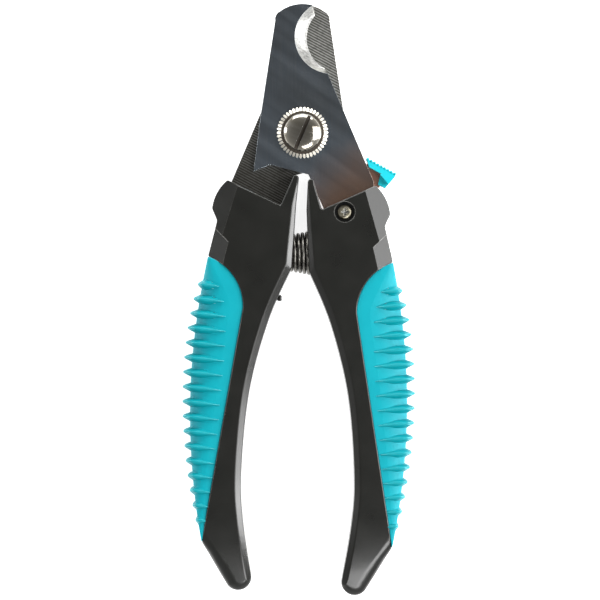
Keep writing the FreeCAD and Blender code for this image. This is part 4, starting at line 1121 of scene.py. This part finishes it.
def latch():
    """Steel latch plate, toothed thumb pad and the latch's screw."""
    long = (BAR_RIGHT - BAR_LEFT).length
    outline = [by_latch(-4, 0), by_latch(0.3, 10.15), by_latch(2.1, 10.15), on_bar(0.9, 0.9),
               on_bar(long - 0.9, 0.9), by_latch(10.0, 7.5)]
    outline += arc(by_latch(4, 0), by_latch(0, -4), by_latch(-4, 0), 20)[:-1]
    plate = prism("latch_steel", outline, *PLATE_Z, [LATCH_STEEL])
    plate = softened(carved(plate, disc("hole", LATCH_AT, 2.05, 0, 15)), 0.15, 3, 30, 32)
    settle(plate, "latch", "latch_plate")
    bar = prism("thumb_pad", [on_bar(0, 0), on_bar(long, 0), on_bar(long, 0.9), on_bar(long - 0.9, BAR_THICK),
                              on_bar(BAR_THICK, BAR_THICK)], *PAD_Z, [PAD_TEAL])
    leg = prism("leg", [on_bar(long, 0.9), by_latch(11.0, 6.5), by_latch(9.0, 7.5),
                        on_bar(long - 3.8, BAR_THICK), on_bar(long - 3.8, 0.9)], *PAD_Z, [PAD_TEAL])
    leg = carved(leg, disc("low", LATCH_AT, PAD_LEG_RADIUS, -5, 4.45, 96),
                 disc("high", LATCH_AT, PAD_LEG_RADIUS, 8.05, 20, 96))
    union = bar.modifiers.new("join", "BOOLEAN")
    union.operation = "UNION"
    union.solver = "EXACT"
    union.object = leg
    applied(bar)
    drop(leg)
    settle(softened(bar, 0.22, 3, 30, 40), "latch", "latch_thumb_pad")
    profile = [(0, -4.0), (0.3, -4.0), (TOOTH, -3.8), (TOOTH, 3.8), (0.3, 4.0), (0, 4.0)]
    tooth = shaded(lathe("tooth", profile, (0, 0), [PAD_TEAL], 24), 50)
    middle = sum(PAD_Z) / 2
    first, last = world(on_bar(TOOTH, 0.1), middle), world(on_bar(long - TOOTH, 0.1), middle)
    teeth = grown("thumb_pad_teeth", ROW, Piece=tooth, Start=first, Step=(last - first) / (PAD_TEETH - 1),
                  Count=PAD_TEETH, Material=PAD_TEAL)
    settle(teeth, "latch", "latch_thumb_pad")
    drop(tooth)
    screw = headed_screw("latch_turning_screw", world(LATCH_AT, 0), 3.2, LATCH_SCREW_SEAT, 13.8, BLACK_SCREW)
    settle(screw, "right_side", "latch_screw")


# ---- Spring
COIL_PITCH = 1.16
COIL_WIRE = 0.96
COIL_RADII = (4.3, 5.8)


def coil():
    """Conical coil between the handles."""
    low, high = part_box("handle_spring")
    x0, x1 = low.x / MM + 0.5, high.x / MM - 0.5
    turns = (x1 - x0) / COIL_PITCH
    steps, ring = int(turns * 40), 12
    verts = []
    centre_y = PIVOT.y / MM + SPRING_Y
    for k in range(steps + 1):
        t = k / steps
        a = t * turns * math.tau
        radius = COIL_RADII[0] + (COIL_RADII[1] - COIL_RADII[0]) * t
        out = Vector((0, math.sin(a), -math.cos(a)))
        middle = Vector((x0 + (x1 - x0) * t, centre_y, MID)) + out * radius
        for r in range(ring):
            b = math.tau * r / ring
            verts.append((middle + (out * math.cos(b) + Vector((math.sin(b), 0, 0))) * COIL_WIRE / 2) * MM)
    faces = band_faces(steps + 1, ring) + [list(range(ring))[::-1], [steps * ring + r for r in range(ring)]]
    spring = shaded(piece_from("opening_coil", verts, faces, [SPRING_WIRE]), 50)
    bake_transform(spring)
    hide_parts("handle_spring")


# ---- Pieces kept as drawn
def kept_pieces():
    """Materials of the pieces that keep their drawn shape."""
    for node, material in (("pivot_washer", ZINC), ("pivot_nut", ZINC), ("latch_bush", ZINC),
                           ("latch_washer", SPRING_WIRE)):
        piece = bpy.data.objects[node]
        piece.data.materials.clear()
        piece.data.materials.append(material)


blades()
handles()
shell_screws()
pivot()
latch()
coil()
kept_pieces()


# ---- Floor, light and camera
CAMERA_HEIGHT = 1.1
VIEW_WIDTH = 0.1616
HORIZON_LIGHT = 0.72
OVERHEAD_LIGHT = 0.14


def pale_floor():
    """Plain pale sheet that the clipper lies on."""
    mesh = bpy.data.meshes.new("floor")
    mesh.from_pydata([(x, y, -0.0002) for x, y in ((-2, -2), (2, -2), (2, 2), (-2, 2))], [], [[0, 1, 2, 3]])
    material, tree, shader = new_material("pale_paper", Roughness=0.9, Emission_Strength=0.85,
                                          Emission_Color=(1, 1, 1, 1))
    spots = group_in(tree, GRAIN, Fine_Scale=900.0, Mottle_Scale=8.0)
    tree.links.new(blended(tree, spots.outputs[0], (0.93, 0.93, 0.93, 1), (0.96, 0.96, 0.96, 1)),
                   shader.inputs["Base Color"])
    mesh.materials.append(material)
    sheet = bpy.data.objects.new("floor", mesh)
    bpy.context.scene.collection.objects.link(sheet)


def lamp(name, place, target, size, watts):
    """Soft square lamp that faces a target."""
    data = bpy.data.lights.new(name, "AREA")
    data.shape = "RECTANGLE"
    data.size, data.size_y = size
    data.energy = watts
    obj = bpy.data.objects.new(name, data)
    obj.location = place
    obj.rotation_euler = (Vector(target) - Vector(place)).to_track_quat("-Z", "Y").to_euler()
    bpy.context.scene.collection.objects.link(obj)


def surroundings():
    """Bright near the horizon, dimmer overhead."""
    world_data = bpy.data.worlds.new("studio")
    world_data.use_nodes = True
    tree = world_data.node_tree
    place = add(tree, "ShaderNodeTexCoord")
    parts = add(tree, "ShaderNodeSeparateXYZ", {0: place.outputs["Generated"]})
    level = add(tree, "ShaderNodeMapRange", {0: parts.outputs[2]}, in_1=0.0, in_2=1.0, in_3=HORIZON_LIGHT,
                in_4=OVERHEAD_LIGHT)
    tree.links.new(level.outputs[0], tree.nodes["Background"].inputs["Strength"])
    tree.nodes["Background"].inputs["Color"].default_value = (1, 1, 1, 1)
    bpy.context.scene.world = world_data


def camera():
    """Camera straight above, far enough for little perspective."""
    data = bpy.data.cameras.new("camera")
    data.sensor_width = 36
    data.lens = data.sensor_width * (CAMERA_HEIGHT - HANDLE_DEPTH * MM) / VIEW_WIDTH
    obj = bpy.data.objects.new("camera", data)
    obj.location = (0.00036, -0.00009, CAMERA_HEIGHT)
    bpy.context.scene.collection.objects.link(obj)
    bpy.context.scene.camera = obj


pale_floor()
surroundings()
camera()
lamp("left_lamp", (-0.6, 0.15, 0.1), (0, 0, 0), (0.16, 0.6), 1.8)
lamp("right_lamp", (0.45, 0.05, 0.35), (0, 0, 0), (0.35, 0.6), 3.0)
lamp("top_lamp", (0.0, 0.6, 0.28), (0, 0, 0), (0.7, 0.3), 3.4)
lamp("right_strip", (0.6, -0.05, 0.08), (0, -0.02, 0), (0.12, 0.9), 2.4)
lamp("low_lamp", (0.16, -0.36, 0.5), (0, -0.07, 0), (0.3, 0.2), 1.5)
bpy.context.scene.view_settings.view_transform = "Standard"
